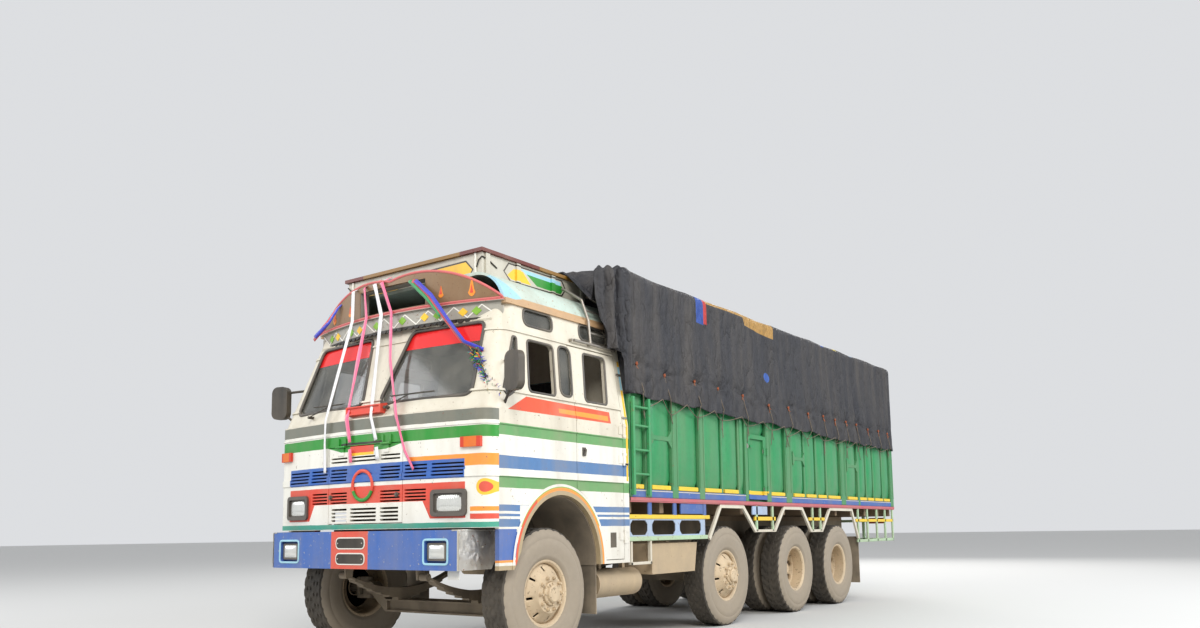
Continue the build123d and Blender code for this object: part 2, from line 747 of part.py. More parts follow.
# Wheel arch liners and mudflaps of the cab
liner_thick = 14
liner_inner_y = 620
liner_front_x = 142
cab_liner = arch(-1, liner_inner_y, cab_half - cab_wall - part_gap) - arch(-1 - liner_thick, 0, 3000)
cab_liner &= block(-3000, liner_front_x, 0, 3000, arch_foot, 3000)
flap_sheet = 12
cab_flap_x = arch_x - arch_half + liner_thick + 1
flap_top_z = arch_foot - 30 - part_gap
cab_flap = block(
    cab_flap_x - flap_sheet - 8, cab_flap_x - 8, liner_inner_y + 180, cab_half - cab_wall - 6, 310,
    flap_top_z
)
cab_liner += block(
    cab_flap_x - flap_sheet - 8, cab_flap_x, liner_inner_y + 180, cab_half - cab_wall - 1, arch_foot - 30,
    arch_foot + 1
)
put("arch_liners", pair(cab_liner))

# Ladder frame
spare_x = -7970
cross_member_x = [700, -1200, -2000, -3900, -5543, -7000, spare_x]
frame_rail = cross_plate(
    [
        (rail_y, rail_top),
        (rail_y, rail_top - rail_depth),
        (rail_y - rail_flange, rail_top - rail_depth),
        (rail_y - rail_flange, rail_top - rail_depth + rail_web),
        (rail_y - rail_web, rail_top - rail_depth + rail_web),
        (rail_y - rail_web, rail_top - rail_web),
        (rail_y - rail_flange, rail_top - rail_web),
        (rail_y - rail_flange, rail_top),
    ],
    rail_back,
    rail_front,
)
frame = pair(frame_rail)
member_depth = 150
member_width = 90
member_half = rail_y - rail_web - part_gap
member_under = rail_top - rail_depth + 40
members = []
for x in cross_member_x:
    members.append(block(x - member_width / 2, x + member_width / 2, -member_half, member_half, member_under,
                         member_under + member_depth))

# Leaf springs: arcs of spring steel, longest leaf first
leaf_thick_z = 14
spring_y0 = 440
spring_y1 = 520
hub_z = tyre_radius


def leaf_pack(x_mid, z_base, halves, radius, upward):
    pack = None
    count = len(halves)
    for i, half in enumerate(halves):
        inner = radius + i * leaf_thick_z
        outer = inner + leaf_thick_z
        sign = 1 if upward else -1
        centre = z_base + sign * (radius + count * leaf_thick_z)
        edge_in = centre - sign * sqrt(inner * inner - half * half)
        edge_out = centre - sign * sqrt(outer * outer - half * half)
        face = make_face(
            ThreePointArc(
                (x_mid - half, 0, edge_in), (x_mid, 0, centre - sign * inner), (x_mid + half, 0, edge_in)
            )
            + Line((x_mid + half, 0, edge_in), (x_mid + half, 0, edge_out))
            + ThreePointArc(
                (x_mid + half, 0, edge_out), (x_mid, 0, centre - sign * outer), (x_mid - half, 0, edge_out)
            )
            + Line((x_mid - half, 0, edge_out), (x_mid - half, 0, edge_in))
        )
        leaf = Pos(0, spring_y0, 0) * extrude(face, amount=spring_y1 - spring_y0, dir=(0, 1, 0))
        pack = leaf if pack is None else pack + leaf
    return pack


beam_half_x = 45
beam_depth = 110
beam_z = hub_z - beam_drop
pusher_half = 60
spring_seat = 22
spring_table = [         # middle x, underside at the axle, half lengths of the leaves, radius, ends up
    (steer_x, beam_z + beam_depth / 2 + spring_seat, [640, 560, 470, 370, 270, 180], 1500, True),
    (pusher_x, hub_z + pusher_half + spring_seat, [560, 480, 400, 310, 220], 1900, True),
]
springs = []
for x_mid, z_base, halves, radius, upward in spring_table:
    pack = leaf_pack(x_mid, z_base, halves, radius, upward)
    top_radius = radius + leaf_thick_z / 2
    eye_z = z_base + radius + len(halves) * leaf_thick_z - sqrt(
        top_radius * top_radius - halves[0] * halves[0]
    )
    seat = block(x_mid - 75, x_mid + 75, spring_y0, spring_y1, z_base - spring_seat, z_base + 3)
    pack += seat
    for end in (-1, 1):
        eye_x = x_mid + end * halves[0]
        pack += rod(30, (eye_x, spring_y0, eye_z), (eye_x, spring_y1, eye_z))
        hanger_pin = rod(12, (eye_x, rail_y - 4, eye_z), (eye_x, spring_y1 + 14, eye_z))
        pack -= rod(12 + bearing_gap, (eye_x, rail_y - 20, eye_z), (eye_x, spring_y1 + 20, eye_z))
        hanger = side_plate(
            [(eye_x - 34, eye_z - 24), (eye_x + 34, eye_z - 24), (eye_x + 60, rail_top - rail_depth + 60),
             (eye_x - 60, rail_top - rail_depth + 60)],
            rail_y - 12,
            rail_y - 1 + 8,
        )
        frame += pair(hanger + hanger_pin)
    springs.append(pack)

tandem_mid = (drive_x + rear_x) / 2
drive_tube = 64
tandem_pad_top = hub_z + drive_tube + 34
tandem_base = tandem_pad_top + 176
tandem_leaves = [760, 640, 520, 400, 280]
tandem_radius = 2250
tandem_pack = leaf_pack(tandem_mid, tandem_base, tandem_leaves, tandem_radius, False)
slipper_drop = len(tandem_leaves) * leaf_thick_z + tandem_radius - sqrt(
    tandem_radius ** 2 - tandem_leaves[0] ** 2
)
slipper_top = tandem_base - slipper_drop - part_gap
saddle = block(tandem_mid - 90, tandem_mid + 90, spring_y0, spring_y1, tandem_base - 78, tandem_base - 40)
springs.append(tandem_pack + saddle)
put("leaf_springs", *[pair(pack) for pack in springs])
saddle_leg = block(
    tandem_mid - 80, tandem_mid + 80, rail_y - 12, spring_y1, tandem_base - 140, tandem_base - 78 - part_gap
)
saddle_leg += block(
    tandem_mid - 80, tandem_mid + 80, rail_y - 12, rail_y + 8, tandem_base - 140, rail_top - rail_depth + 60
)
frame += pair(saddle_leg)

# Front axle beam, knuckles and tie rod
beam_bend_out = 830      # where the beam starts to drop, and where it is down
beam_bend_in = 640
boss_radius = 45
boss_height = 120
lug_height = 36
lug_clear = 1
beam_line = [(0, beam_z), (beam_bend_in, beam_z), (beam_bend_out, hub_z), (kingpin_y, hub_z)]
half_depth = beam_depth / 2
upper = [(y, z + half_depth) for y, z in beam_line]
lower = [(y, z - half_depth) for y, z in beam_line]
upper_left = [(-y, z) for y, z in reversed(upper[1:])]
lower_left = [(-y, z) for y, z in reversed(lower[1:])]
beam = cross_plate(
    upper_left + upper + list(reversed(lower)) + list(reversed(lower_left)), -beam_half_x, beam_half_x
)
web_inset = 16
web_half = 9
pocket = [
    (-beam_bend_in + 20, beam_z + half_depth - web_inset),
    (beam_bend_in - 20, beam_z + half_depth - web_inset),
    (beam_bend_in - 20, beam_z - half_depth + web_inset),
    (-beam_bend_in + 20, beam_z - half_depth + web_inset),
]
beam -= cross_plate(pocket, web_half, beam_half_x + 1)
beam -= cross_plate(pocket, -beam_half_x - 1, -web_half)
for side in (-1, 1):
    beam += Pos(0, side * kingpin_y, hub_z) * Cylinder(boss_radius, boss_height)
for side in (-1, 1):
    beam -= block(-200, 200, side * (kingpin_y + boss_radius), side * (kingpin_y + 200), 0, 1000)
    beam -= Pos(0, side * kingpin_y, hub_z) * Cylinder(kingpin_radius + bearing_gap, boss_height + 20)
    for z in (hub_z - boss_height / 2 - 60, hub_z + boss_height / 2 + 60):
        beam -= Pos(0, side * kingpin_y, z) * Cylinder(boss_radius + 12, 120)
put("front_axle", beam)

hub_in = -60             # hub from and to, from the middle of the tyre
hub_out = 206
cap_length = 20
bridge_y = kingpin_y + 51
bridge_out = single_y + hub_in - 1
lug_mid = boss_height / 2 + lug_clear + lug_height / 2
knuckle = Pos(0, kingpin_y, hub_z) * Cylinder(kingpin_radius, boss_height + 2 * lug_clear + 2)
for side in (-1, 1):
    level = hub_z + side * lug_mid
    knuckle += Pos(0, kingpin_y, level) * Cylinder(boss_radius, lug_height)
    knuckle += block(
        -boss_radius, boss_radius, kingpin_y, bridge_y + 2, level - lug_height / 2, level + lug_height / 2
    )
bridge_height = boss_height + 2 * lug_clear + 2 * lug_height
knuckle += block(-60, 60, bridge_y, bridge_out, hub_z - bridge_height / 2, hub_z + bridge_height / 2)
knuckle += rod(spindle_radius, (0, bridge_out - 2, hub_z), (0, single_y + hub_out - cap_length - 2, hub_z))
arm_z = hub_z - lug_mid
arm_half = 20
knuckle += block(
    -steer_arm, 0, kingpin_y - arm_half, kingpin_y + arm_half, arm_z - lug_height / 2,
    arm_z + lug_height / 2
)
knuckle += Pos(-steer_arm, kingpin_y, arm_z) * Cylinder(arm_half, lug_height)
ball_radius = 11
rod_end_height = 30
rod_end_z = arm_z - lug_height / 2 - 1 - rod_end_height / 2
knuckle += Pos(-steer_arm, kingpin_y, rod_end_z) * Cylinder(ball_radius, rod_end_height + 4)
knuckle_left = knuckle
put("knuckle_left", knuckle_left)
put("knuckle_right", mirrored(knuckle_left))

tie_radius = 17
tie_rod = rod(tie_radius, (-steer_arm, -kingpin_y, rod_end_z), (-steer_arm, kingpin_y, rod_end_z))
for side in (-1, 1):
    tie_rod -= Pos(-steer_arm, side * kingpin_y, rod_end_z) * Cylinder(40, 80)
for side in (-1, 1):
    tie_rod += Pos(-steer_arm, side * kingpin_y, rod_end_z) * (
        Cylinder(26, rod_end_height) - Cylinder(20, 80)
    )
    tie_rod += rod(
        tie_radius - 3, (-steer_arm, side * (kingpin_y - 44), rod_end_z),
        (-steer_arm, side * (kingpin_y - 22), rod_end_z)
    )
    tie_rod += Pos(-steer_arm, side * kingpin_y, rod_end_z) * (
        Cylinder(22, rod_end_height) - Cylinder(ball_radius + bearing_gap, 80)
    )
put("tie_rod", tie_rod)

# Tyres: a flat tread, sloping shoulders and side walls that run in to the bead
tread_half = 104
belly_radius = 418
bead_half = 96
bead_radius = 272


def tyre():
    half = tyre_width / 2
    body = faceted(
        [(-half, belly_radius), (-tread_half, tyre_radius), (tread_half, tyre_radius), (half, belly_radius)],
        tyre_facets
    )
    for side in (-1, 1):
        body -= faceted(
            [(side * bead_half, bead_radius), (side * (half + 1), belly_radius)][::side], tyre_facets
        )
    return body - faceted([(-half, rim_seat + part_gap), (half, rim_seat + part_gap)], tyre_facets)


rim_half = 100
disc_edge = 60           # where the dished disc leaves the rim, and its flat mounting face
disc_face = 150
disc_radius = 150
disc_thick = 14
hub_radius = 92
drum_radius = 205
drum_wall = 14
drum_in = -74
drum_out = 40


def barrel(middle):
    ring = faceted([(middle - rim_half, rim_seat), (middle + rim_half, rim_seat)], tyre_facets)
    return ring - faceted(
        [(middle - rim_half - 1, rim_seat - rim_wall), (middle + rim_half + 1, rim_seat - rim_wall)],
        tyre_facets
    )


def dish(edge, face):
    thick = disc_thick if face > edge else -disc_thick
    sections = [(edge, rim_seat - rim_wall / 2), (face, disc_radius)]
    inner = [(edge - thick, rim_seat - rim_wall / 2), (face - thick, disc_radius)]
    if face < edge:
        sections.reverse()
        inner.reverse()
    return faceted(sections, rim_facets) - faceted(inner, rim_facets)


def drum(y_open, y_closed):
    low, high = sorted((y_open, y_closed))
    wall = faceted([(low, drum_radius), (high, drum_radius)], rim_facets)
    if y_open < y_closed:
        return wall - faceted(
            [(low - 1, drum_radius - drum_wall), (high - drum_wall, drum_radius - drum_wall)], rim_facets
        )
    return wall - faceted(
        [(low + drum_wall, drum_radius - drum_wall), (high + 1, drum_radius - drum_wall)], rim_facets
    )


def turned(radius, y0, y1):
    return faceted([(y0, radius), (y1, radius)], rim_facets)


def bore(radius, y0, y1):
    return rod(radius, (0, y0, 0), (0, y1, 0))


single_rim = barrel(0) + dish(disc_edge, disc_face) + turned(
    disc_radius + 4, disc_face - disc_thick, disc_face
)
single_rim += drum(drum_in, drum_out) + turned(hub_radius, hub_in, hub_out - 40) + turned(
    hub_radius - 24, hub_out - 41, hub_out
)
single_rim -= bore(spindle_radius + bearing_gap, hub_in - 1, hub_out - cap_length)

twin_face = 12
twin_disc_edge = 118
twin_hub_in = -96
twin_hub_out = 150
twin_drum_in = -262
twin_drum_out = -100
axle_end_radius = 46
twin_mid_y = dual_outer_y - dual_pitch / 2
twin_rim = barrel(dual_pitch / 2) + barrel(-dual_pitch / 2)
twin_rim += dish(twin_disc_edge, twin_face) + dish(-twin_disc_edge, -twin_face)
twin_rim += turned(disc_radius + 4, -twin_face, twin_face) + turned(
    hub_radius + 12, twin_hub_in, twin_hub_out
)
twin_rim += drum(twin_drum_in, twin_drum_out) + turned(hub_radius, twin_drum_out - 4, twin_hub_in + 4)
twin_rim -= bore(axle_end_radius + bearing_gap, twin_drum_out - 30, twin_hub_out - cap_length)

one_tyre = tyre()
twin_tyres = [Pos(0, side * dual_pitch / 2, 0) * one_tyre for side in (1, -1)]
wheel_table = [          # name, axle x, middle y, tyres, rim
    ("steer", steer_x, single_y, [one_tyre], single_rim),
    ("pusher", pusher_x, single_y, [one_tyre], single_rim),
    ("drive", drive_x, twin_mid_y, twin_tyres, twin_rim),
    ("rear", rear_x, twin_mid_y, twin_tyres, twin_rim),
]
for name, x, y, tyres, rim_shape in wheel_table:
    place = Pos(x, y, hub_z)
    put("tyre_" + name + "_left", *[place * shape for shape in tyres])
    put("rim_" + name + "_left", place * rim_shape)
    put("tyre_" + name + "_right", *[mirrored(place * shape) for shape in tyres])
    put("rim_" + name + "_right", mirrored(place * rim_shape))

# Axles behind: a plain beam under the pusher, two driven housings with their differentials
pusher_beam = block(
    pusher_x - pusher_half, pusher_x + pusher_half, -960, 960, hub_z - pusher_half, hub_z + pusher_half
)
pusher_axle = pusher_beam + rod(spindle_radius, (pusher_x, -single_y - hub_out + cap_length + 2, hub_z),
                                (pusher_x, single_y + hub_out - cap_length - 2, hub_z))
axles = [pusher_axle]
housing_radius = 205
housing_width = 190
nose_length = 330
drive_tube_y = twin_mid_y + twin_drum_out - 30 - 4
for x in (drive_x, rear_x):
    tube = rod(drive_tube, (x, -drive_tube_y, hub_z), (x, drive_tube_y, hub_z))
    ends = rod(axle_end_radius, (x, -twin_mid_y - twin_hub_out + cap_length + 2, hub_z),
               (x, twin_mid_y + twin_hub_out - cap_length - 2, hub_z))
    bulb = rod(housing_radius, (x - housing_width / 2, 0, hub_z), (x + housing_width / 2, 0, hub_z))
    nose = Plane(origin=(x + housing_width / 2 - 2, 0, hub_z), z_dir=(1, 0, 0)) * Pos(0, 0, nose_length / 2) * Cone(
        housing_radius - 40, 60, nose_length)
    cones = pair(
        Plane(origin=(x, housing_radius * 0.55, hub_z), z_dir=(0, 1, 0))
        * Pos(0, 0, 110) * Cone(120, drive_tube + 4, 220)
    )
    pad = pair(block(x - 70, x + 70, spring_y0, spring_y1, hub_z, slipper_top))
    axles.append(tube + ends + bulb + nose + cones + pad)
put("rear_axles", *axles)

# Engine, gearbox, radiator and shafts
gearbox_back = -1040
shaft_radius = 55
shaft_clear = 9          # the cut ends of the slanting shaft stay this far off the axle
shaft_start = (gearbox_back - 4, 0, 820)
shaft_middle = (cross_member_x[2], 0, 800)
nose_tip = housing_width / 2 + nose_length - 2 + part_gap
driveline = block(-330, 610, -290, 290, 720, 1600) + block(gearbox_back, -329, -190, 190, 700, 1160)
rail_inside = rail_y - rail_web - 1
rail_ledge = rail_top - rail_depth + rail_web + part_gap
for x in (-900, 340):
    driveline += pair(block(x - 40, x + 40, 180, rail_inside, rail_ledge, rail_ledge + 60))
radiator_half = hump_half - hump_wall - part_gap
radiator = block(680, 744, -radiator_half, radiator_half, 1120, 1620)
shaft = rod(shaft_radius, shaft_start, shaft_middle) + rod(
    shaft_radius, shaft_middle, (drive_x + nose_tip + shaft_clear, 0, hub_z + 6)
)
bearing_block = block(shaft_middle[0] - 30, shaft_middle[0] + 30, -90, 90, 730, member_under - part_gap)
link_shaft = rod(
    shaft_radius - 10, (drive_x - housing_width / 2 - part_gap, 0, hub_z), (rear_x + nose_tip, 0, hub_z)
)
put("driveline", driveline, radiator, shaft + bearing_block, link_shaft)

# Tank and boxes slung from the rails: air cylinder and toolbox left, fuel tank right
toolbox = side_plate([(-1550, 600), (-1550, 885), (-2400, 885), (-2345, 600)], 870, 1205)
toolbox += block(-1600, -1650, rail_y + part_gap, 900, 868, 900) + block(
    -2300, -2350, rail_y + part_gap, 900, 868, 900
)
cylinder_radius = 125
cylinder_y = 1050
cylinder_z = 550
cylinder = rod(cylinder_radius, (-750, cylinder_y, cylinder_z), (-1420, cylinder_y, cylinder_z))
for x in (-900, -1270):
    cylinder += block(x - 20, x + 20, rail_y + part_gap, cylinder_y + 20, 880, 910)
    cylinder += block(
        x - 20, x + 20, cylinder_y - 20, cylinder_y + 20, cylinder_z + cylinder_radius - 20, 890
    )
fuel_tank = fillet(block(-1500, -2450, -1200, -800, 570, 880).edges().filter_by(Axis.X), 60)
for x in (-1700, -2250):
    fuel_tank += block(x - 25, x + 25, -820, -rail_y - part_gap, 850, 870)
put("tanks", toolbox, cylinder, fuel_tank)

# Load deck: a boarded floor on cross bearers and two runners, and an end sill with the fixed leaves
# of the tailgate
bearer_low = 1170
deck_low = deck_z - deck_thickness
bearer_pitch = 560
bearer_count = 13
deck_bearer_half = 1180
deck_bearer_width = 70
bearer_setback = 80
end_sill_width = 80
deck = [block(body_front, body_back + end_sill_width + part_gap, -body_half, body_half, deck_low, deck_z)]
for i in range(bearer_count):
    x = body_front - bearer_setback - i * bearer_pitch
    deck.append(block(
        x - deck_bearer_width / 2, x + deck_bearer_width / 2, -deck_bearer_half, deck_bearer_half,
        bearer_low, deck_low - part_gap
    ))
deck.append(
    pair(block(
        body_front, rail_back, rail_y - rail_flange, rail_y, rail_top + part_gap, bearer_low - part_gap
    ))
)
end_sill = block(
    body_back, body_back + end_sill_width, -deck_bearer_half, deck_bearer_half, bearer_low, deck_z
)
end_sill += block(body_back, body_back + end_sill_width, -body_half, body_half, deck_low, deck_z)

gate_half = 1180
gate_low = deck_z + door_gap
gate_high = 2100
gate_thick = 30
gate_axis_x = body_back - hinge_proud
gate_axis_z = deck_z + door_gap / 2
gate_hinge_y = [-900, -300, 300, 900]
gate = block(body_back, body_back + gate_thick, -gate_half, gate_half, gate_low, gate_high)
gate_panels = [(-1120, -620), (-560, -30), (30, 560), (620, 1120)]
for y0, y1 in gate_panels:
    gate -= block(body_back - 1, body_back + 12, y0, y1, gate_low + 90, gate_high - 60)
for y in gate_hinge_y:
    fixed, moving = hinge(80)
    place = Plane(origin=(gate_axis_x, y, gate_axis_z), x_dir=(0, 0, 1), z_dir=(0, -1, 0))
    gate += place * moving
    end_sill += place * fixed
put("load_deck", *deck, end_sill)
put("tailgate", gate)

# Body walls: pressed panels between posts, with a pair of bands along the foot
access_front = -3521
access_back = -3979
access_low = 1336
access_high = 2064
wall_in = body_half - wall_rib - wall_sheet
wall_face = body_half - wall_rib
post_table = [           # x at the front, x at the back, how far it stands out of the sheet
    (body_front, -1176, wall_rib),
    (-1400, -1500, wall_rib),
    (-1879, -1988, wall_rib),
    (-2412, -2519, wall_rib),
    (-2915, -2945, 20),
    (-3305, -3335, 20),
    (-3447, access_front + door_gap, wall_rib),
    (access_back - door_gap, -4099, wall_rib),
    (-4518, -4677, wall_rib),
    (-4720, -4750, 20),
    (-5100, -5140, 20),
    (-5480, -5520, 20),
    (-5823, -5863, 20),
    (-6310, -6473, wall_rib),
    (-6540, -6570, 20),
    (-6960, -7027, wall_rib),
    (-7335, -7365, 20),
    (-7638, -7668, 20),
    (-8035, -8065, 20),
    (-8358, body_back, wall_rib),
]
band_table = [           # bottom z, top z, how far it stands out
    (deck_z + part_gap, 1386, 32),
    (1386, 1433, 22),
    (2395, wall_top, 34),
]
cross_bars = [           # x at the front, x at the back, middle z
    (-1500, -1879, 1883),
    (-4750, -5100, 1860),
    (-6570, -6960, 1860),
]
press_margin = 14        # flat edge of the sheet round a pressed panel
press_height = 16
press_slope = 50
panel_low = 1433
panel_high = 2395
wall = block(body_front, body_back, wall_in, wall_face, deck_z + part_gap, wall_top)
access_hole = block(access_front + door_gap, access_back - door_gap, 0, 2 * body_half, access_low - door_gap,
                    access_high + door_gap)


def pressed(x0, x1, z0, z1):
    width = abs(x1 - x0) - 2 * press_margin
    height = z1 - z0 - 2 * press_margin
    plane = Plane(origin=((x0 + x1) / 2, wall_face - 1, (z0 + z1) / 2), x_dir=(1, 0, 0), z_dir=(0, 1, 0))
    return extrude(plane * Rectangle(width, height), amount=press_height, taper=press_slope)


for x0, x1, proud in post_table:
    wall += block(x0, x1, wall_face - 1, wall_face + proud, deck_z + part_gap, wall_top)
for z0, z1, proud in band_table:
    wall += block(body_front, body_back, wall_face - 1, wall_face + proud, z0, z1)
for (_, x0, _), (x1, _, _) in zip(post_table[:-1], post_table[1:]):
    if x0 > access_front + door_gap or x0 <= access_back - door_gap:
        if abs(x1 - x0) > 80:
            wall += pressed(x0, x1, panel_low, panel_high)
wall += pressed(access_front + door_gap, access_back - door_gap, access_high + door_gap, panel_high)
bar_half = 22
for x0, x1, z in cross_bars:
    wall += block(x0, x1, wall_face - 1, body_half - 8, z - bar_half, z + bar_half)
    for corner, step in ((x0, -60), (x1, 60)):
        for side in (-1, 1):
            edge = z + side * bar_half
            gusset = [(corner, edge), (corner + step, edge), (corner, edge + side * 60)]
            wall += side_plate(gusset, wall_face - 1, body_half - 8)
wall -= access_hole
access_axis_x = access_back - door_gap / 2
access_axis_y = body_half + hinge_proud
access_hinge_z = [1452, 1890]
access_door = block(access_front, access_back, wall_face, body_half, access_low, access_high)
access_door -= block(
    access_front - 45, access_back + 75, wall_face + 14, body_half + 1, access_low + 45, access_high - 45
)
access_door += block(access_front - 30, access_front - 90, body_half - 30, body_half + 14, 1915, 1945)
for z in access_hinge_z:
    fixed, moving = hinge(84)
    place = Pos(access_axis_x, access_axis_y, z)
    access_door += place * moving
    wall += place * fixed
put("access_door_left", access_door)
put("access_door_right", mirrored(access_door))

headboard_thick = 40
headboard = block(
    body_front, body_front - headboard_thick, -wall_in + part_gap, wall_in - part_gap, deck_z + part_gap,
    wall_top
)
for y in (-800, -400, 0, 400, 800):
    headboard += block(body_front - headboard_thick + 1, body_front - headboard_thick - 30, y - 30, y + 30,
                       deck_z + part_gap, wall_top)
put("body_walls", pair(wall), headboard)

# Stake rack that carries the sheet
stake_x = [-1200, -2240, -3280, -4320, -5360, -6400, -7440, -8420]
stake_size = 50
stake_y = 1224
stake_top_gap = 4


def sheet_top(x):
    return sheet_top_front + (x - body_front) * (sheet_top_back - sheet_top_front) / (tail_x - body_front)


def hem_z(x):
    return sheet_hem_front + (x - body_front) * (sheet_hem_back - sheet_hem_front) / (tail_x - body_front)


stake_rail_z = [2800, 3130]
stake_rail_depth = 60
stake_rail_thick = 28
half_stake = stake_size / 2
stake_inside = stake_y - stake_size - part_gap
rail_inside_y = stake_inside - stake_rail_thick
stakes = []
for x in stake_x:
    top = sheet_top(x) - sheet_cloth - stake_top_gap - 2
    stakes.append(
        pair(block(x - half_stake, x + half_stake, stake_y - stake_size, stake_y, wall_top + part_gap, top))
    )
    stakes.append(block(x - half_stake, x + half_stake, -stake_inside, stake_inside, top - stake_size, top))
for z in stake_rail_z:
    top = z + stake_rail_depth
    stakes.append(
        pair(block(stake_x[0] + half_stake, stake_x[-1] - half_stake, rail_inside_y, stake_inside, z, top))
    )
    end_half = rail_inside_y - part_gap
    for x in (stake_x[0], stake_x[-1]):
        stakes.append(
            block(x - stake_rail_thick / 2, x + stake_rail_thick / 2, -end_half, end_half, z, top)
        )
put("stake_rack", *stakes)

# Load sheet: a hollow cover with an open foot, its hem over the tops of the walls
sheet_half = body_half + 10 + sheet_cloth
sheet_front = body_front + part_gap + sheet_cloth
cover = side_plate(
    [
        (sheet_front, hem_z(sheet_front)),
        (sheet_front, sheet_top(sheet_front)),
        (tail_x, sheet_top(tail_x)),
        (tail_x, hem_z(tail_x)),
    ],
    -sheet_half,
    sheet_half,
)
cover_inside = side_plate(
    [
        (sheet_front - sheet_cloth, hem_z(sheet_front) - 60),
        (sheet_front - sheet_cloth, sheet_top(sheet_front) - sheet_cloth),
        (tail_x + sheet_cloth, sheet_top(tail_x) - sheet_cloth),
        (tail_x + sheet_cloth, hem_z(tail_x) - 60),
    ],
    sheet_cloth - sheet_half,
    sheet_half - sheet_cloth,
)
cover = fillet(cover.edges().filter_by(Axis.Z, 2).filter_by(lambda e: e.length > 1000), 40)
cover_inside = fillet(cover_inside.edges().filter_by(Axis.Z, 2).filter_by(lambda e: e.length > 1000), 20)
put("load_sheet", cover - cover_inside)

# Ladders on the front bay, both sides
ladder_x = [(-1140, -1172), (-1404, -1436)]
ladder_y0 = body_half + part_gap
ladder_y1 = 1290
ladder_low = 1330
ladder_high = 2230
rung_z = [1521, 1742, 1965, 2138]
ladder = None
for x0, x1 in ladder_x:
    stile = block(x0, x1, ladder_y1 - 26, ladder_y1, ladder_low, ladder_high)
    for z in (ladder_low + 30, ladder_high - 30):
        stile += block(x0, x1, ladder_y0, ladder_y1 - 20, z - 20, z + 20)
    ladder = stile if ladder is None else ladder + stile
for z in rung_z:
    ladder += rod(12, (ladder_x[0][1] + 5, ladder_y1 - 14, z), (ladder_x[1][0] - 5, ladder_y1 - 14, z))
put("ladders", pair(ladder))

# Side frames under the deck: rails, a plate with eight-sided holes, arched strips over the wheels,
# rear lattice
skirt_y0 = 1222
skirt_y1 = 1246
strip_width = 42
front_bars = [           # x at the front, x at the back, bottom z, top z
    (-1120, -2610, 1115, 1155),
    (-1120, -2560, 914, 955),
    (-1440, -1500, 1150, deck_low),
    (-1890, -1950, 1150, deck_low),
    (-2480, -2540, 1150, deck_low),
]
second_bars = [
    (-3660, -4200, 1100, 1144),
    (-3675, -4190, 970, 1000),
    (-3690, -3730, 980, deck_low),
    (-4110, -4150, 980, deck_low),
]
third_bars = [
    (-5190, -5690, 1100, 1140),
    (-5240, -5610, 956, 990),
    (-5290, -5330, 970, deck_low),
    (-5540, -5580, 970, deck_low),
]
rear_bars = [
    (-6880, -8440, 800, 840),
    (-6830, -8440, 1085, 1125),
    (-6914, -6954, 800, deck_low),
    (-7290, -7330, 800, deck_low),
    (-7690, -7730, 800, deck_low),
    (-8060, -8100, 800, deck_low),
    (-8400, -8440, 800, deck_low),
]
strip_table = [          # foot, top front, top back and foot of the strip over a wheel, as (x, z)
    [(-2600, 914), (-2860, deck_low - 20), (-3375, deck_low - 20), (-3680, 984)],
    [(-4180, 984), (-4456, deck_low - 20), (-4973, deck_low - 20), (-5250, 970)],
    [(-5600, 970), (-5890, deck_low - 20), (-6685, deck_low - 20), (-6914, 862)],
]
hole_table = [           # x at the front, x at the back of the holes in the plate
    (-1144, -1432),
    (-1511, -1931),
    (-2014, -2435),
]
hole_low = 968
hole_high = 1102
hole_corner = 36


def lattice(bars):
    welded = None
    for x0, x1, z0, z1 in bars:
        bar = block(x0, x1, skirt_y0, skirt_y1, z0, z1 - (part_gap if z1 == deck_low else 0))
        welded = bar if welded is None else welded + bar
    return welded


# The room that a lattice takes, with play round each bar
def lattice_room(bars):
    room = None
    for x0, x1, z0, z1 in bars:
        bar = block(x0 + part_gap, x1 - part_gap, 0, 2 * body_half, z0 - part_gap, z1 + part_gap)
        room = bar if room is None else room + bar
    return room


# Outline of a flat strip along a line of (x, z) points, with mitred bends
def strip_outline(points):
    normals = []
    for (xa, za), (xb, zb) in zip(points[:-1], points[1:]):
        length = sqrt((xb - xa) ** 2 + (zb - za) ** 2)
        normals.append(((zb - za) / length, (xa - xb) / length))
    mitres = [normals[0]]
    for (ax, az), (bx, bz) in zip(normals[:-1], normals[1:]):
        reach = 1 + ax * bx + az * bz
        mitres.append(((ax + bx) / reach, (az + bz) / reach))
    mitres.append(normals[-1])
    half = strip_width / 2
    inner = [(x + nx * half, z + nz * half) for (x, z), (nx, nz) in zip(points, mitres)]
    outer = [(x - nx * half, z - nz * half) for (x, z), (nx, nz) in zip(points, mitres)]
    return inner + outer[::-1]


hole_plate = block(-1122, -2520, 1230, 1238, 950, 1120)
for x0, x1 in hole_table:
    hole_plate -= side_plate(
        [
            (x0 - hole_corner, hole_low),
            (x1 + hole_corner, hole_low),
            (x1, hole_low + hole_corner),
            (x1, hole_high - hole_corner),
            (x1 + hole_corner, hole_high),
            (x0 - hole_corner, hole_high),
            (x0, hole_high - hole_corner),
            (x0, hole_low + hole_corner),
        ],
        skirt_y0,
        skirt_y1,
    )
lattices = [lattice(front_bars) + hole_plate, lattice(second_bars), lattice(third_bars), lattice(rear_bars)]
under_deck = block(body_back, body_front, 0, 2 * body_half, 0, deck_low - part_gap)
side_pieces = lattices
for points in strip_table:
    strip = side_plate(strip_outline(points), skirt_y0, skirt_y1) & under_deck
    for bars in (front_bars, second_bars, third_bars, rear_bars):
        strip -= lattice_room(bars)
    side_pieces.append(max(strip.solids(), key=lambda s: s.volume))
tail_half = skirt_y0 - part_gap
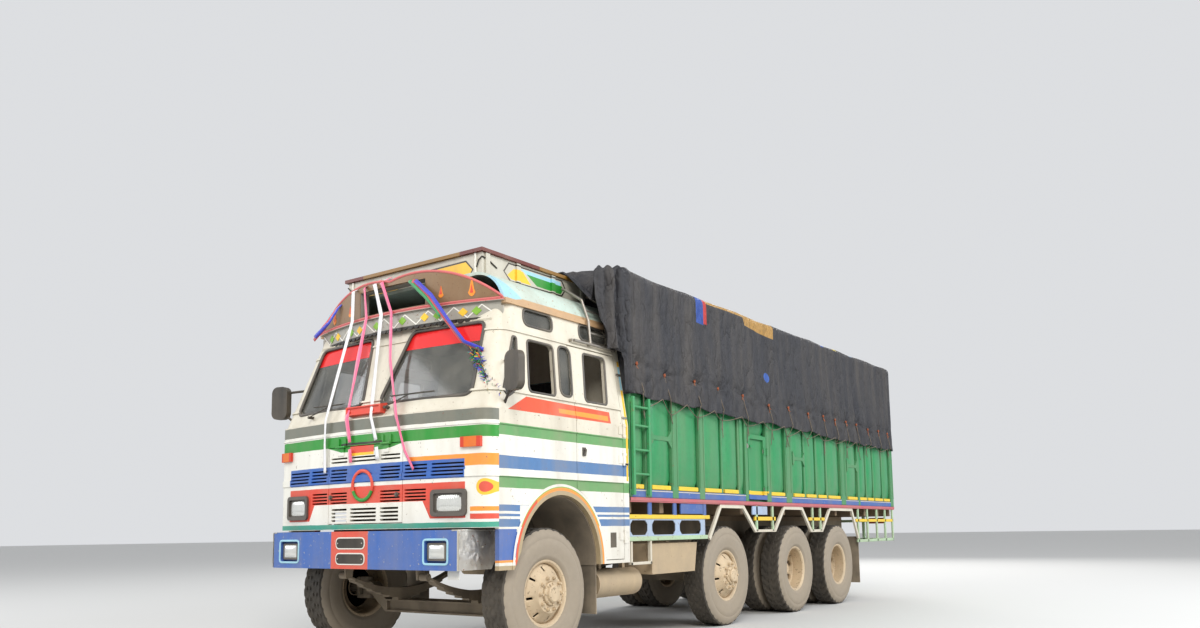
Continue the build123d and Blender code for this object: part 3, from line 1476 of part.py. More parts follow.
tail_bars = [            # y from, y to, bottom z, top z
    (-tail_half, tail_half, 800, 840),
    (-tail_half, tail_half, 1085, 1125),
    (300, 340, 800, bearer_low - part_gap),
    (-340, -300, 800, bearer_low - part_gap),
    (760, 800, 800, bearer_low - part_gap),
    (-800, -760, 800, bearer_low - part_gap),
]
tail_x0 = -8440
tail_x1 = -8402
tail_lattice = None
for y0, y1, z0, z1 in tail_bars:
    bar = block(tail_x0, tail_x1, y0, y1, z0, z1)
    tail_lattice = bar if tail_lattice is None else tail_lattice + bar
put("side_frames", *[pair(piece) for piece in side_pieces], tail_lattice)
rear_lamp = block(tail_x0 - 26, tail_x0 - part_gap, 860, 1120, 1062, 1148)
lamps.append(rear_lamp)
put("lamps", *[pair(lamp) for lamp in lamps])

# Mudflaps behind the front and the last wheels, and the spare wheel slung under the tail
last_flap_x = -6960
last_flap = block(last_flap_x - flap_sheet, last_flap_x, 760, 1215, 240, 850)
last_flap += block(last_flap_x - 40, last_flap_x, rail_y + part_gap, 1215, 845, 880)
put("mudflaps", pair(cab_flap), pair(last_flap))

spare_z = 660
spare_place = Pos(spare_x, 0, spare_z) * Rot(-90, 0, 0)
spare_rim = barrel(0) + dish(disc_edge, disc_face) + turned(
    disc_radius + 4, disc_face - disc_thick, disc_face
)
spare_rim -= bore(60, 0, disc_face + 1)
put("spare_tyre", spare_place * one_tyre)
put("spare_rim", spare_place * spare_rim)
spare_plate_z = spare_z - disc_face - part_gap
spare_hanger = members.pop()
spare_hanger += rod(16, (spare_x, 0, spare_plate_z - 20), (spare_x, 0, member_under + 2))
spare_hanger += rod(110, (spare_x, 0, spare_plate_z - 14), (spare_x, 0, spare_plate_z))
put("chassis_frame", frame, *members, spare_hanger)
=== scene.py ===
import bpy
import bmesh
import math
import random
from mathutils import Vector, Matrix, noise


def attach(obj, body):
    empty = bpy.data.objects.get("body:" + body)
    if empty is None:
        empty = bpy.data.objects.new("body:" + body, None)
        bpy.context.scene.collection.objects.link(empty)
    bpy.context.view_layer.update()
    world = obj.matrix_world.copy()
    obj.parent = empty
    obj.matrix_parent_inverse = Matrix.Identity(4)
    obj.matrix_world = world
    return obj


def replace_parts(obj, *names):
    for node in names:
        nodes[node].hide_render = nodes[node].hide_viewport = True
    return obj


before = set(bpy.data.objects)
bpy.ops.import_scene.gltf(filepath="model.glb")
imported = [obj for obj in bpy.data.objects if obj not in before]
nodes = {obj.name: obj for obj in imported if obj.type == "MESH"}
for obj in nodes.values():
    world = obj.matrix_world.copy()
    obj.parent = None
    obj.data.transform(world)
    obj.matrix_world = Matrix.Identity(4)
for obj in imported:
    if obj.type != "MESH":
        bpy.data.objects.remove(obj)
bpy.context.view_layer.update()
axleX = 3.8          # the front axle in the frame; most places below are given from it
print("frame loaded:", len(nodes), "nodes")

# finishes: each reads the object's own coordinates, in metres, so it stays put when a door opens
dustTone = (0.33, 0.275, 0.205)


def maths(tree, how, a, b=None, c=None):
    node = tree.nodes.new("ShaderNodeMath")
    node.operation = how
    for index, value in enumerate((a, b, c)):
        if value is None:
            continue
        if isinstance(value, (int, float)):
            node.inputs[index].default_value = value
        else:
            tree.links.new(value, node.inputs[index])
    return node.outputs[0]


def mixColour(tree, factor, low, high, how="MIX"):
    node = tree.nodes.new("ShaderNodeMix")
    node.data_type = "RGBA"
    node.blend_type = how
    for socket, value in ((node.inputs[0], factor), (node.inputs[6], low), (node.inputs[7], high)):
        if isinstance(value, (int, float)):
            socket.default_value = value
        elif isinstance(value, tuple):
            socket.default_value = (*value, 1)
        else:
            tree.links.new(value, socket)
    return node.outputs[2]


def grain(tree, coord, scale, detail=4, stretch=(1, 1, 1), rough=0.55):
    place = tree.nodes.new("ShaderNodeMapping")
    place.inputs["Scale"].default_value = stretch
    tree.links.new(coord, place.inputs[0])
    node = tree.nodes.new("ShaderNodeTexNoise")
    node.inputs["Scale"].default_value = scale
    node.inputs["Detail"].default_value = detail
    node.inputs["Roughness"].default_value = rough
    tree.links.new(place.outputs[0], node.inputs["Vector"])
    return node.outputs[0]


def ramp(tree, value, stops, sharp=False):
    node = tree.nodes.new("ShaderNodeValToRGB")
    node.color_ramp.interpolation = "CONSTANT" if sharp else "LINEAR"
    while len(node.color_ramp.elements) < len(stops):
        node.color_ramp.elements.new(0.5)
    for element, (place, colour) in zip(node.color_ramp.elements, stops):
        element.position = place
        element.color = (*colour, 1) if isinstance(colour, tuple) else (colour, colour, colour, 1)
    tree.links.new(value, node.inputs[0])
    return node.outputs[0]


def inside(tree, coord, axes, tests):
    result = None
    for test in tests:
        kind = test[0]
        if kind in "xyz":
            value = axes[kind]
            low, high = test[1:]
        elif kind == "side":                     # distance from the middle plane
            value = maths(tree, "ABSOLUTE", axes["y"])
            low, high = test[1:]
        elif kind == "along":                    # a slanting strip
            dot = tree.nodes.new("ShaderNodeVectorMath")
            dot.operation = "DOT_PRODUCT"
            dot.inputs[1].default_value = test[1]
            tree.links.new(coord, dot.inputs[0])
            value = dot.outputs["Value"]
            low, high = test[2:]
        else:                                    # a ring or oval: middle, stretch, from, to
            away = tree.nodes.new("ShaderNodeVectorMath")
            away.operation = "SUBTRACT"
            away.inputs[1].default_value = test[1]
            tree.links.new(coord, away.inputs[0])
            oval = tree.nodes.new("ShaderNodeVectorMath")
            oval.operation = "MULTIPLY"
            oval.inputs[1].default_value = test[2]
            tree.links.new(away.outputs[0], oval.inputs[0])
            size = tree.nodes.new("ShaderNodeVectorMath")
            size.operation = "LENGTH"
            tree.links.new(oval.outputs[0], size.inputs[0])
            value = size.outputs["Value"]
            low, high = test[3:]
        hit = maths(tree, "COMPARE", value, (low + high) / 2, (high - low) / 2)
        result = hit if result is None else maths(tree, "MULTIPLY", result, hit)
    return result


def makeFinish(name, colour, rough=0.5, metal=0.0, dust=0.35, streak=0.25, patch=0.12, bump=0.12,
               bumpScale=70,
               bands=None, patches=(), sheen=0.0, coat=0.0, lowDust=0.5, wear=None, wearAmount=0.0,
               creases=0.0):
    mat = bpy.data.materials.new(name)
    mat.use_nodes = True
    tree = mat.node_tree
    surface = tree.nodes["Principled BSDF"]
    coord = tree.nodes.new("ShaderNodeTexCoord").outputs["Object"]
    split = tree.nodes.new("ShaderNodeSeparateXYZ")
    tree.links.new(coord, split.inputs[0])
    axes = {"x": split.outputs[0], "y": split.outputs[1], "z": split.outputs[2]}
    wobble = maths(tree, "MULTIPLY", maths(tree, "SUBTRACT", grain(tree, coord, 9, 3), 0.5), 0.006)
    axes["z"] = maths(tree, "ADD", axes["z"], wobble)
    shade = colour
    if bands:                                    # stripes by height: low end, then (top of stripe, colour)
        low, rows = bands
        high = rows[-1][0]
        reach = tree.nodes.new("ShaderNodeMapRange")
        reach.inputs[1].default_value = low
        reach.inputs[2].default_value = high
        tree.links.new(axes["z"], reach.inputs[0])
        stops = [(0.0, rows[0][1])] + [((rows[i][0] - low) / (high - low), rows[i + 1][1])
                                       for i in range(len(rows) - 1)]
        shade = ramp(tree, reach.outputs[0], stops, sharp=True)
    for patchColour, tests in patches:
        shade = mixColour(tree, inside(tree, coord, axes, tests), shade, patchColour)
    soft = grain(tree, coord, 2.3, 5)
    fine = grain(tree, coord, 26, 5)
    runs = grain(tree, coord, 5, 5, stretch=(1, 1, 0.12))
    faded = mixColour(tree, patch, shade, fine, how="OVERLAY")
    if wear:
        chips = ramp(tree, grain(tree, coord, 34, 6, rough=0.7),
                     [(0.0, 0.0), (0.66 - wearAmount * 0.2, 0.0), (0.70 - wearAmount * 0.2, 1.0)])
        faded = mixColour(tree, chips, faded, wear)
    film = maths(tree, "MULTIPLY", ramp(tree, soft, [(0.3, 0.15), (0.75, 1.0)]), dust)
    drip = maths(tree, "MULTIPLY", ramp(tree, runs, [(0.42, 0.0), (0.72, 1.0)]), streak)
    near = tree.nodes.new("ShaderNodeMapRange")
    near.inputs[1].default_value = 0.2
    near.inputs[2].default_value = 1.9
    near.inputs[3].default_value = lowDust
    near.inputs[4].default_value = 0.0
    tree.links.new(axes["z"], near.inputs[0])
    mud = ramp(tree, grain(tree, coord, 6, 6), [(0.25, 0.35), (0.7, 1.0)])
    splash = maths(tree, "MULTIPLY", near.outputs[0], mud)
    total = maths(tree, "MINIMUM", maths(tree, "ADD", maths(tree, "ADD", film, drip), splash), 0.92)
    final = mixColour(tree, total, faded, dustTone)
    tree.links.new(final, surface.inputs["Base Color"])
    roughness = maths(tree, "ADD", maths(tree, "MULTIPLY", total, 0.35), rough)
    uneven = maths(tree, "MULTIPLY", maths(tree, "SUBTRACT", fine, 0.5), 0.18)
    roughness = maths(tree, "ADD", roughness, uneven)
    tree.links.new(maths(tree, "MINIMUM", roughness, 1.0), surface.inputs["Roughness"])
    surface.inputs["Metallic"].default_value = metal
    surface.inputs["Sheen Weight"].default_value = sheen
    surface.inputs["Coat Weight"].default_value = coat
    relief = tree.nodes.new("ShaderNodeBump")
    relief.inputs["Strength"].default_value = bump
    relief.inputs["Distance"].default_value = 0.004
    height = maths(tree, "ADD", grain(tree, coord, bumpScale, 6), maths(tree, "MULTIPLY", soft, 2.0))
    if creases:                                  # sharp wrinkles that mostly run up and down
        for scale, stretch, deep in ((3.4, (1, 1, 0.40), 16.0), (9.0, (1, 1, 0.62), 4.0)):
            waves = grain(tree, coord, scale, 3, stretch=stretch)
            away = maths(tree, "ABSOLUTE", maths(tree, "SUBTRACT", waves, 0.5))
            fold = maths(tree, "POWER", maths(tree, "MULTIPLY", away, 2.0), 0.5)
            height = maths(tree, "ADD", height, maths(tree, "MULTIPLY", fold, deep * creases))
        relief.inputs["Strength"].default_value = 0.8
    tree.links.new(height, relief.inputs["Height"])
    tree.links.new(relief.outputs[0], surface.inputs["Normal"])
    return mat


def atX(x):
    return axleX + x


# a convex painted shape; corners as (y, z) in front, (x, z) at the side
def shape(plane, corners):
    spots = [(a + (axleX if plane == "side" else 0), b) for a, b in corners]
    turn = sum(a0 * b1 - a1 * b0 for (a0, b0), (a1, b1) in zip(spots, spots[1:] + spots[:1]))
    if turn < 0:
        spots.reverse()
    tests = []
    for (a0, b0), (a1, b1) in zip(spots, spots[1:] + spots[:1]):
        normal = Vector((b0 - b1, a1 - a0)).normalized()
        low = normal.x * a0 + normal.y * b0
        tests.append(("along", (0, normal.x, normal.y) if plane == "front" else (normal.x, 0, normal.y), low,
                      low + 60))
    return tests


tones = {
    "panelGreen": (0.012, 0.250, 0.088), "postGreen": (0.050, 0.245, 0.105), "steel": (0.38, 0.36, 0.33),
    "black": (0.02, 0.02, 0.02),
    "rust": (0.20, 0.08, 0.035), "cloth": (0.026, 0.028, 0.036), "blue": (0.028, 0.115, 0.38),
}
sheetPatches = {                                  # sewn patches on the load sheet
    "left": [((0.36, 0.21, 0.06), shape("side", [(-2.633, 3.56), (-4.268, 3.56), (-4.268, 3.385),
                                                 (-2.633, 3.385)])),
             ((0.36, 0.21, 0.06), shape("side", [(-3.441, 3.40), (-4.268, 3.42), (-4.256, 3.257),
                                                 (-3.496, 3.300)])),
             ((0.02, 0.07, 0.30), [("x", atX(-2.571), atX(-2.400)), ("z", 3.14, 3.44)]),
             ((0.42, 0.03, 0.03), [("x", atX(-2.644), atX(-2.571)), ("z", 3.154, 3.443)]),
             ((0.03, 0.10, 0.36), [("ring", (atX(-4.038), 1.27, 2.767), (1.0, 0, 1.5), 0.0, 0.085)])],
    "edge": [((0.10, 0.26, 0.42), -4.44, -4.30, 3.43), ((0.36, 0.28, 0.05), -4.84, -4.72, 3.43),
             ((0.03, 0.09, 0.36), -5.91, -5.80, 3.42),
             ((0.40, 0.30, 0.04), -6.35, -6.24, 3.43), ((0.10, 0.22, 0.36), -6.98, -6.85, 3.44)],
}
patchPlaces = [(colour, [("y", 1.1, 2)] + tests) for colour, tests in sheetPatches["left"]]
for colour, x0, x1, low in sheetPatches["edge"]:
    patchPlaces.append((colour, [("side", 0.9, 2), ("x", atX(x0), atX(x1)), ("z", low, 3.6)]))
looks = {
    "tyreRubber": dict(colour=(0.040, 0.038, 0.036), rough=0.75, dust=0.16, streak=0.0, lowDust=0.18,
                       bump=0.3, bumpScale=160),
    "tyreSide": dict(colour=(0.31, 0.27, 0.22), rough=0.85, dust=0.30, streak=0.0, lowDust=0.30, bump=0.3,
                     bumpScale=160),
    "rimPaint": dict(colour=(0.66, 0.52, 0.35), rough=0.55, dust=0.28, lowDust=0.30, wear=(0.12, 0.07, 0.04),
                     wearAmount=0.30),
    "panelGreen": dict(colour=tones["panelGreen"], rough=0.34, dust=0.10, streak=0.20, patch=0.2,
                       lowDust=0.12, coat=0.15, wear=tones["postGreen"], wearAmount=0.1),
    "postGreen": dict(colour=tones["postGreen"], rough=0.50, dust=0.14, streak=0.20, lowDust=0.20,
                      wear=tones["rust"], wearAmount=0.14),
    "paleGreen": dict(colour=(0.42, 0.60, 0.40), rough=0.55, dust=0.22, lowDust=0.25, wear=tones["rust"],
                      wearAmount=0.25),
    "skyPlate": dict(colour=(0.36, 0.48, 0.66), rough=0.55, dust=0.2, lowDust=0.22, wear=tones["rust"],
                     wearAmount=0.2),
    "pinkRail": dict(colour=(0.50, 0.11, 0.15), rough=0.55, dust=0.2, lowDust=0.2),
    "yellow": dict(colour=(0.80, 0.55, 0.03), rough=0.5, dust=0.14, streak=0.15, lowDust=0.18,
                   wear=tones["rust"], wearAmount=0.12),
    "blueBand": dict(colour=tones["blue"], rough=0.45, dust=0.16, streak=0.2, lowDust=0.2,
                     wear=tones["steel"], wearAmount=0.12),
    "frameSteel": dict(colour=(0.10, 0.085, 0.07), rough=0.7, dust=0.6, lowDust=0.7, bump=0.3),
    "darkSteel": dict(colour=(0.07, 0.06, 0.052), rough=0.65, dust=0.55, lowDust=0.7, bump=0.3),
    "bareSteel": dict(colour=tones["steel"], rough=0.38, metal=0.8, dust=0.3, wear=tones["rust"],
                      wearAmount=0.2),
    "boards": dict(colour=(0.20, 0.13, 0.075), rough=0.75, dust=0.5, bump=0.4, streak=0.1),
    "cloth": dict(colour=tones["cloth"], rough=0.60, dust=0.06, streak=0.12, patch=0.4, bump=0.35,
                  bumpScale=220, lowDust=0.0, creases=1.0, patches=patchPlaces),
    "ropeTan": dict(colour=(0.16, 0.13, 0.10), rough=0.85, dust=0.3, streak=0.0, lowDust=0.0, bump=0.5,
                    bumpScale=300),
    "ropeRed": dict(colour=(0.34, 0.10, 0.045), rough=0.85, dust=0.15, streak=0.0, lowDust=0.0, bump=0.5,
                    bumpScale=300),
    "rubber": dict(colour=tones["black"], rough=0.7, dust=0.5, lowDust=0.6),
    "blackPlastic": dict(colour=tones["black"], rough=0.45, dust=0.25),
    "seatCover": dict(colour=(0.16, 0.04, 0.035), rough=0.5, dust=0.2, bump=0.3),
    "cream": dict(colour=(0.66, 0.62, 0.52), rough=0.42, dust=0.16, streak=0.25, lowDust=0.2),
    "beigeBox": dict(colour=(0.50, 0.38, 0.24), rough=0.6, dust=0.35, streak=0.3, lowDust=0.4,
                     wear=tones["rust"], wearAmount=0.15),
    "ladderGreen": dict(colour=(0.035, 0.30, 0.12), rough=0.45, dust=0.12, streak=0.15, lowDust=0.15,
                        wear=tones["rust"], wearAmount=0.2),
    "gatePaint": dict(colour=tones["panelGreen"], rough=0.38, dust=0.12, streak=0.22, lowDust=0.15,
                      wear=tones["postGreen"], wearAmount=0.12,
                      bands=(1.30, [(1.386, tones["blue"]), (1.432, (0.80, 0.55, 0.03)),
                                    (2.3, tones["panelGreen"])])),
    "lampPaint": dict(colour=(0.085, 0.08, 0.075), rough=0.4, dust=0.12, streak=0.1, lowDust=0.2,
                      patches=[((0.60, 0.035, 0.010), [("z", 1.60, 1.80), ("x", 3.9, 9)]),
                               ((0.35, 0.01, 0.01), [("x", -9, 0)]),
                               ((0.70, 0.16, 0.01), [("z", 1.65, 1.728), ("side", 1.05, 1.16),
                                                     ("x", 3.9, 9)])]),
}
finishes = {name: makeFinish(name, **look) for name, look in looks.items()}


def giveFinish(obj, finish):
    obj.data.materials.clear()
    obj.data.materials.append(finishes[finish] if isinstance(finish, str) else finish)


def newPiece(name, mesh, finish, body, smooth=False, angle=None, outwards=True):
    if outwards:                                 # loose strips and finished pads keep the way they were made
        bmesh.ops.recalc_face_normals(mesh, faces=mesh.faces)
    data = bpy.data.meshes.new(name)
    mesh.to_mesh(data)
    mesh.free()
    obj = bpy.data.objects.new(name, data)
    bpy.context.scene.collection.objects.link(obj)
    for one in finish if isinstance(finish, (list, tuple)) else [finish]:
        data.materials.append(finishes[one] if isinstance(one, str) else one)
    if smooth:
        data.shade_smooth()
        if angle:
            data.set_sharp_from_angle(angle=math.radians(angle))
    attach(obj, body)
    return obj


def addBox(mesh, x, y, z, bevel=0.003, finish=0):      # x, y, z are (from, to)
    sizes = [abs(b - a) for a, b in (x, y, z)]
    middle = Vector([(a + b) / 2 for a, b in (x, y, z)])
    place = Matrix.Translation(middle) @ Matrix.Diagonal((*sizes, 1))
    made = bmesh.ops.create_cube(mesh, size=1, matrix=place)
    faces = {face for vert in made["verts"] for face in vert.link_faces}
    for face in faces:
        face.material_index = finish
    if bevel:
        edges = {edge for face in faces for edge in face.edges}
        bmesh.ops.bevel(mesh, geom=list(edges), offset=min(bevel, min(sizes) * 0.3), segments=1,
                        affect="EDGES", material=finish)


# an outline of (x, z) points, thick across the truck
def addPlate(mesh, points, low, high, finish=0):
    first = [mesh.verts.new((x, low, z)) for x, z in points]
    last = [mesh.verts.new((x, high, z)) for x, z in points]
    faces = [mesh.faces.new(first), mesh.faces.new(list(reversed(last)))]
    for i in range(len(points)):
        j = (i + 1) % len(points)
        faces.append(mesh.faces.new((first[j], first[i], last[i], last[j])))
    for face in faces:
        face.material_index = finish


def addRod(mesh, start, end, radius, sides=10, finish=0):
    start, end = Vector(start), Vector(end)
    run = end - start
    place = Matrix.Translation((start + end) / 2) @ run.to_track_quat("Z", "Y").to_matrix().to_4x4()
    made = bmesh.ops.create_cone(mesh, cap_ends=True, segments=sides, radius1=radius, radius2=radius,
                                 depth=run.length, matrix=place)
    for vert in made["verts"]:
        for face in vert.link_faces:
            face.material_index = finish


def turned(mesh, profile, middle, steps, side=1, close=False, cut=None, skip=None):
    # a form turned about Y; cut changes a radius and skip leaves a face out
    rings = []
    for i in range(steps):
        angle = 2 * math.pi * i / steps
        ring = [(across, cut(i, across, radius) if cut else radius) for across, radius in profile]
        rings.append([mesh.verts.new((middle[0] + r * math.sin(angle), middle[1] + a * side,
                                      middle[2] + r * math.cos(angle))) for a, r in ring])
    count = len(profile)
    for i in range(steps):
        k = (i + 1) % steps
        for j in range(count if close else count - 1):
            if skip and skip(i, j):
                continue
            n = (j + 1) % count
            mesh.faces.new((rings[i][j], rings[i][n], rings[k][n], rings[k][j]))


print("finishes made")

# wheels: turned tyres with cut treads, rims with a pierced disc, nuts and hub caps
wheels = {
    "height": 0.522,
    "rows": {"steer": (0.0, 1.071), "pusher": (-3.057, 1.071), "drive": (-4.846, 0.9155),
             "rear": (-6.240, 0.9155)},
    "twinGap": 0.1625,
    "steps": 132,
    "side": [(0.100, 0.262), (0.112, 0.270), (0.122, 0.290), (0.128, 0.300), (0.128, 0.306), (0.134, 0.335),
             (0.139, 0.380), (0.139, 0.425),
             (0.136, 0.430), (0.136, 0.438), (0.138, 0.444), (0.132, 0.470), (0.122, 0.494), (0.112, 0.508),
             (0.106, 0.515)],
    "treadRows": [0.102, 0.072, 0.069, 0.063, 0.060, 0.028, 0.025, 0.019, 0.016],
    "grooves": [(0.061, 0.071), (0.017, 0.027)],
    "tread": 0.5215, "grooveDeep": 0.012, "grooveShift": 0.003, "shoulder": 0.100, "shoulderDeep": 0.008,
    "lugDeep": 0.016, "lugLanes": 46,
    "treadFrom": {"rib": 0.50, "lug": 0.49}, "sideTo": 0.503, "lugIn": 0.022, "lugGroove": (0.017, 0.027),
}


def tyreProfile():
    half = wheels["side"] + [(across, wheels["tread"]) for across in wheels["treadRows"]]
    return half + [(-across, radius) for across, radius in reversed(half)]


def ribTread(i, across, radius):                           # zigzag grooves between ribs
    if radius < wheels["treadFrom"]["rib"]:
        return radius
    away = abs(across)
    shift = wheels["grooveShift"] * (1 if (i // 2) % 2 else -1)
    for low, high in wheels["grooves"]:
        if low + shift < away < high + shift:
            return radius - wheels["grooveDeep"]
    if away > wheels["shoulder"] and i % 4 == 0:
        return radius - wheels["shoulderDeep"]
    return radius


def lugTread(i, across, radius):                           # staggered blocks
    if radius < wheels["treadFrom"]["lug"]:
        return radius
    away = abs(across)
    lane = int(away * wheels["lugLanes"])
    if away > wheels["lugIn"] and (i + lane) % 4 == 0:
        return radius - wheels["lugDeep"]
    low, high = wheels["lugGroove"]
    if low < away < high and (i // 2) % 2:
        return radius - wheels["grooveDeep"]
    return radius


def makeTyre(name, node, body, places, lug):
    mesh = bmesh.new()
    for middle in places:
        turned(mesh, tyreProfile(), middle, wheels["steps"], close=True, cut=lugTread if lug else ribTread)
    for face in mesh.faces:                                # dusty sidewalls, darker tread
        spot = face.calc_center_median()
        if math.hypot(spot.x - places[0][0], spot.z - places[0][2]) < wheels["sideTo"]:
            face.material_index = 1
    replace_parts(newPiece(name, mesh, ["tyreRubber", "tyreSide"], body, smooth=True, angle=38),
                node)


rims = {
    "barrel": [(-0.104, 0.270), (-0.098, 0.258), (0.098, 0.258), (0.104, 0.270), (0.110, 0.268),
               (0.106, 0.252), (0.092, 0.240), (-0.092, 0.240),
               (-0.106, 0.252), (-0.110, 0.268)],
    "convex": [(0.050, 0.241), (0.064, 0.236), (0.082, 0.214), (0.116, 0.176), (0.136, 0.158), (0.150, 0.150),
               (0.152, 0.108), (0.152, 0.088)],
    "convexHub": [(0.100, 0.094), (0.172, 0.092), (0.178, 0.086), (0.180, 0.070), (0.198, 0.067),
                  (0.206, 0.058), (0.208, 0.0)],
    "concave": [(0.128, 0.241), (0.116, 0.238), (0.092, 0.228), (0.046, 0.196), (0.020, 0.170),
                (0.014, 0.158), (0.013, 0.108), (0.013, 0.094)],
    "concaveHub": [(-0.02, 0.102), (0.100, 0.100), (0.112, 0.094), (0.116, 0.078), (0.142, 0.074),
                   (0.150, 0.064), (0.152, 0.0)],
    "convexDrum": [(-0.070, 0.205), (0.036, 0.205), (0.040, 0.200), (0.040, 0.080)],
    "concaveDrum": [(-0.262, 0.205), (-0.110, 0.205), (-0.104, 0.198), (-0.104, 0.08)],
    "discOut": {"convex": 0.152, "concave": 0.013}, "flangeOut": {"convex": 0.176, "concave": 0.110},
    "holes": 8, "nuts": 10, "nutCircle": 0.128, "nutRadius": 0.0155, "studRadius": 0.009, "bolts": 8,
    "boltCircle": 0.083, "boltRadius": 0.007,
    "steps": 64, "hubSteps": 32, "drumSteps": 40, "drumWall": 0.012, "discThick": 0.011, "weld": 0.0005,
}


def addRound(mesh, middle, angle, circle, start, end, radius, sides):     # a stud on a bolt circle
    x, z = middle[0] + circle * math.sin(angle), middle[2] + circle * math.cos(angle)
    addRod(mesh, (x, start, z), (x, end, z), radius, sides=sides)


def makeRim(name, node, body, x, y, side, kind):
    mesh = bmesh.new()
    middle = (axleX + x, y * side, wheels["height"])
    twin = kind == "concave"
    for offset in ((wheels["twinGap"], -wheels["twinGap"]) if twin else (0.0,)):
        turned(mesh, [(a + offset, r) for a, r in rims["barrel"]], middle, rims["steps"], side, close=True)
    turned(mesh, rims[kind + "Hub"], middle, rims["hubSteps"], side)
    faceY = middle[1] + side * rims["discOut"][kind]
    for i in range(rims["nuts"]):
        angle = 2 * math.pi * (i + 0.5) / rims["nuts"]
        addRound(mesh, middle, angle, rims["nutCircle"], faceY - side * 0.004, faceY + side * 0.022,
                 rims["nutRadius"], 6)
        addRound(mesh, middle, angle, rims["nutCircle"], faceY, faceY + side * 0.034, rims["studRadius"], 8)
    outY = middle[1] + side * rims["flangeOut"][kind]
    for i in range(rims["bolts"]):
        addRound(mesh, middle, 2 * math.pi * i / rims["bolts"], rims["boltCircle"], outY, outY + side * 0.012,
                 rims["boltRadius"], 6)
    drum = rims[kind + "Drum"]
    for inset in (0, rims["drumWall"]):
        turned(mesh, [(a, r - inset) for a, r in drum], middle, rims["drumSteps"], side)
    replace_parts(newPiece(name, mesh, "rimPaint", body, smooth=True, angle=32), node)
    mesh = bmesh.new()
    each = rims["steps"] // rims["holes"]

    def pierced(i, j):                                     # the hand holes of the disc
        return (j in (2, 3) and i % each in (1, 2, 3)) if twin else (j == 2 and i % each == 1)

    for way in (1, -1) if twin else (1,):
        turned(mesh, [(a * way, r) for a, r in rims[kind]], middle, rims["steps"], side, skip=pierced)
    bmesh.ops.remove_doubles(mesh, verts=mesh.verts, dist=rims["weld"])
    thick = newPiece(name + "_disc", mesh, "rimPaint", body, smooth=True,
                     angle=35).modifiers.new("thick", "SOLIDIFY")
    thick.thickness = rims["discThick"]
    thick.offset = 0


for row, (x, y) in wheels["rows"].items():
    twin = row in ("drive", "rear")
    for side, word in ((1, "left"), (-1, "right")):
        body = "wheel_" + row + "_" + word
        offsets = (wheels["twinGap"], -wheels["twinGap"]) if twin else (0.0,)
        places = [(axleX + x, side * (y + offset), wheels["height"]) for offset in offsets]
        makeTyre("tyreSet_" + row + "_" + word, "tyre_" + row + "_" + word, body, places, twin)
        makeRim("wheelRim_" + row + "_" + word, "rim_" + row + "_" + word, body, x, y, side,
                "concave" if twin else "convex")
print("wheels made")

# load body walls: pillow-pressed panels between channel posts, bands along the foot
bodyWalls = {
    "front": -1.134, "back": -8.484, "sheetIn": 1.185, "sheetOut": 1.213, "low": 1.3113, "high": 2.450,
    "posts": [(-1.134, -1.176, 1), (-1.400, -1.500, 1), (-1.879, -1.988, 1), (-2.412, -2.519, 1),
              (-2.915, -2.945, 0), (-3.305, -3.335, 0),
              (-3.447, -3.515, 1), (-3.985, -4.099, 1), (-4.518, -4.677, 1), (-4.720, -4.750, 0),
              (-5.100, -5.140, 0), (-5.480, -5.520, 0),
              (-5.823, -5.863, 0), (-6.310, -6.473, 1), (-6.540, -6.570, 0), (-6.960, -7.027, 1),
              (-7.335, -7.365, 0), (-7.638, -7.668, 0),
              (-8.035, -8.065, 0), (-8.358, -8.484, 1)],
    "postOut": 1.253, "ribOut": 1.236,
    "door": (-3.515, -3.985, 1.330, 2.070),
    "bars": [(-1.500, -1.879, 1.883), (-4.750, -5.100, 1.860), (-6.570, -6.960, 1.860)],
    "bulge": 0.030, "panelLow": 1.437, "panelHigh": 2.40, "railDeep": 0.055, "railOut": 1.243,
    "footBand": 1.386, "footOut": 1.2475,
    "line": (1.370, 1.378), "lineOut": 1.2495, "sill": (1.388, 1.432), "sillOut": 1.246, "sillPast": 0.022,
    "barHalf": 0.023, "gusset": 0.065,
    "widePost": 0.09, "channelAt": 0.36, "channelHalf": 0.009, "channelLow": 0.12,
}


def pillow(mesh, x0, x1, z0, z1, face, side, bulge, finish, acrossSteps=12, upSteps=18):
    rows = []
    for i in range(upSteps + 1):
        v = i / upSteps
        row = []
        for j in range(acrossSteps + 1):
            u = j / acrossSteps
            fu, fv = abs(2 * u - 1), abs(2 * v - 1)
            lift = (1 - fu ** 2.6) ** 0.75 * (1 - fv ** 5) ** 0.8
            dent = 0.0025 * noise.noise(Vector((x0 + (x1 - x0) * u, side * 3.1, z0 + (z1 - z0) * v)) * 5.0)
            row.append(mesh.verts.new((atX(x0 + (x1 - x0) * u),
                                       side * (face + bulge * lift + dent * min(lift * 3, 1)),
                                       z0 + (z1 - z0) * v)))
        rows.append(row)
    for i in range(upSteps):
        for j in range(acrossSteps):
            mesh.faces.new((rows[i][j], rows[i][j + 1], rows[i + 1][j + 1],
                            rows[i + 1][j])).material_index = finish


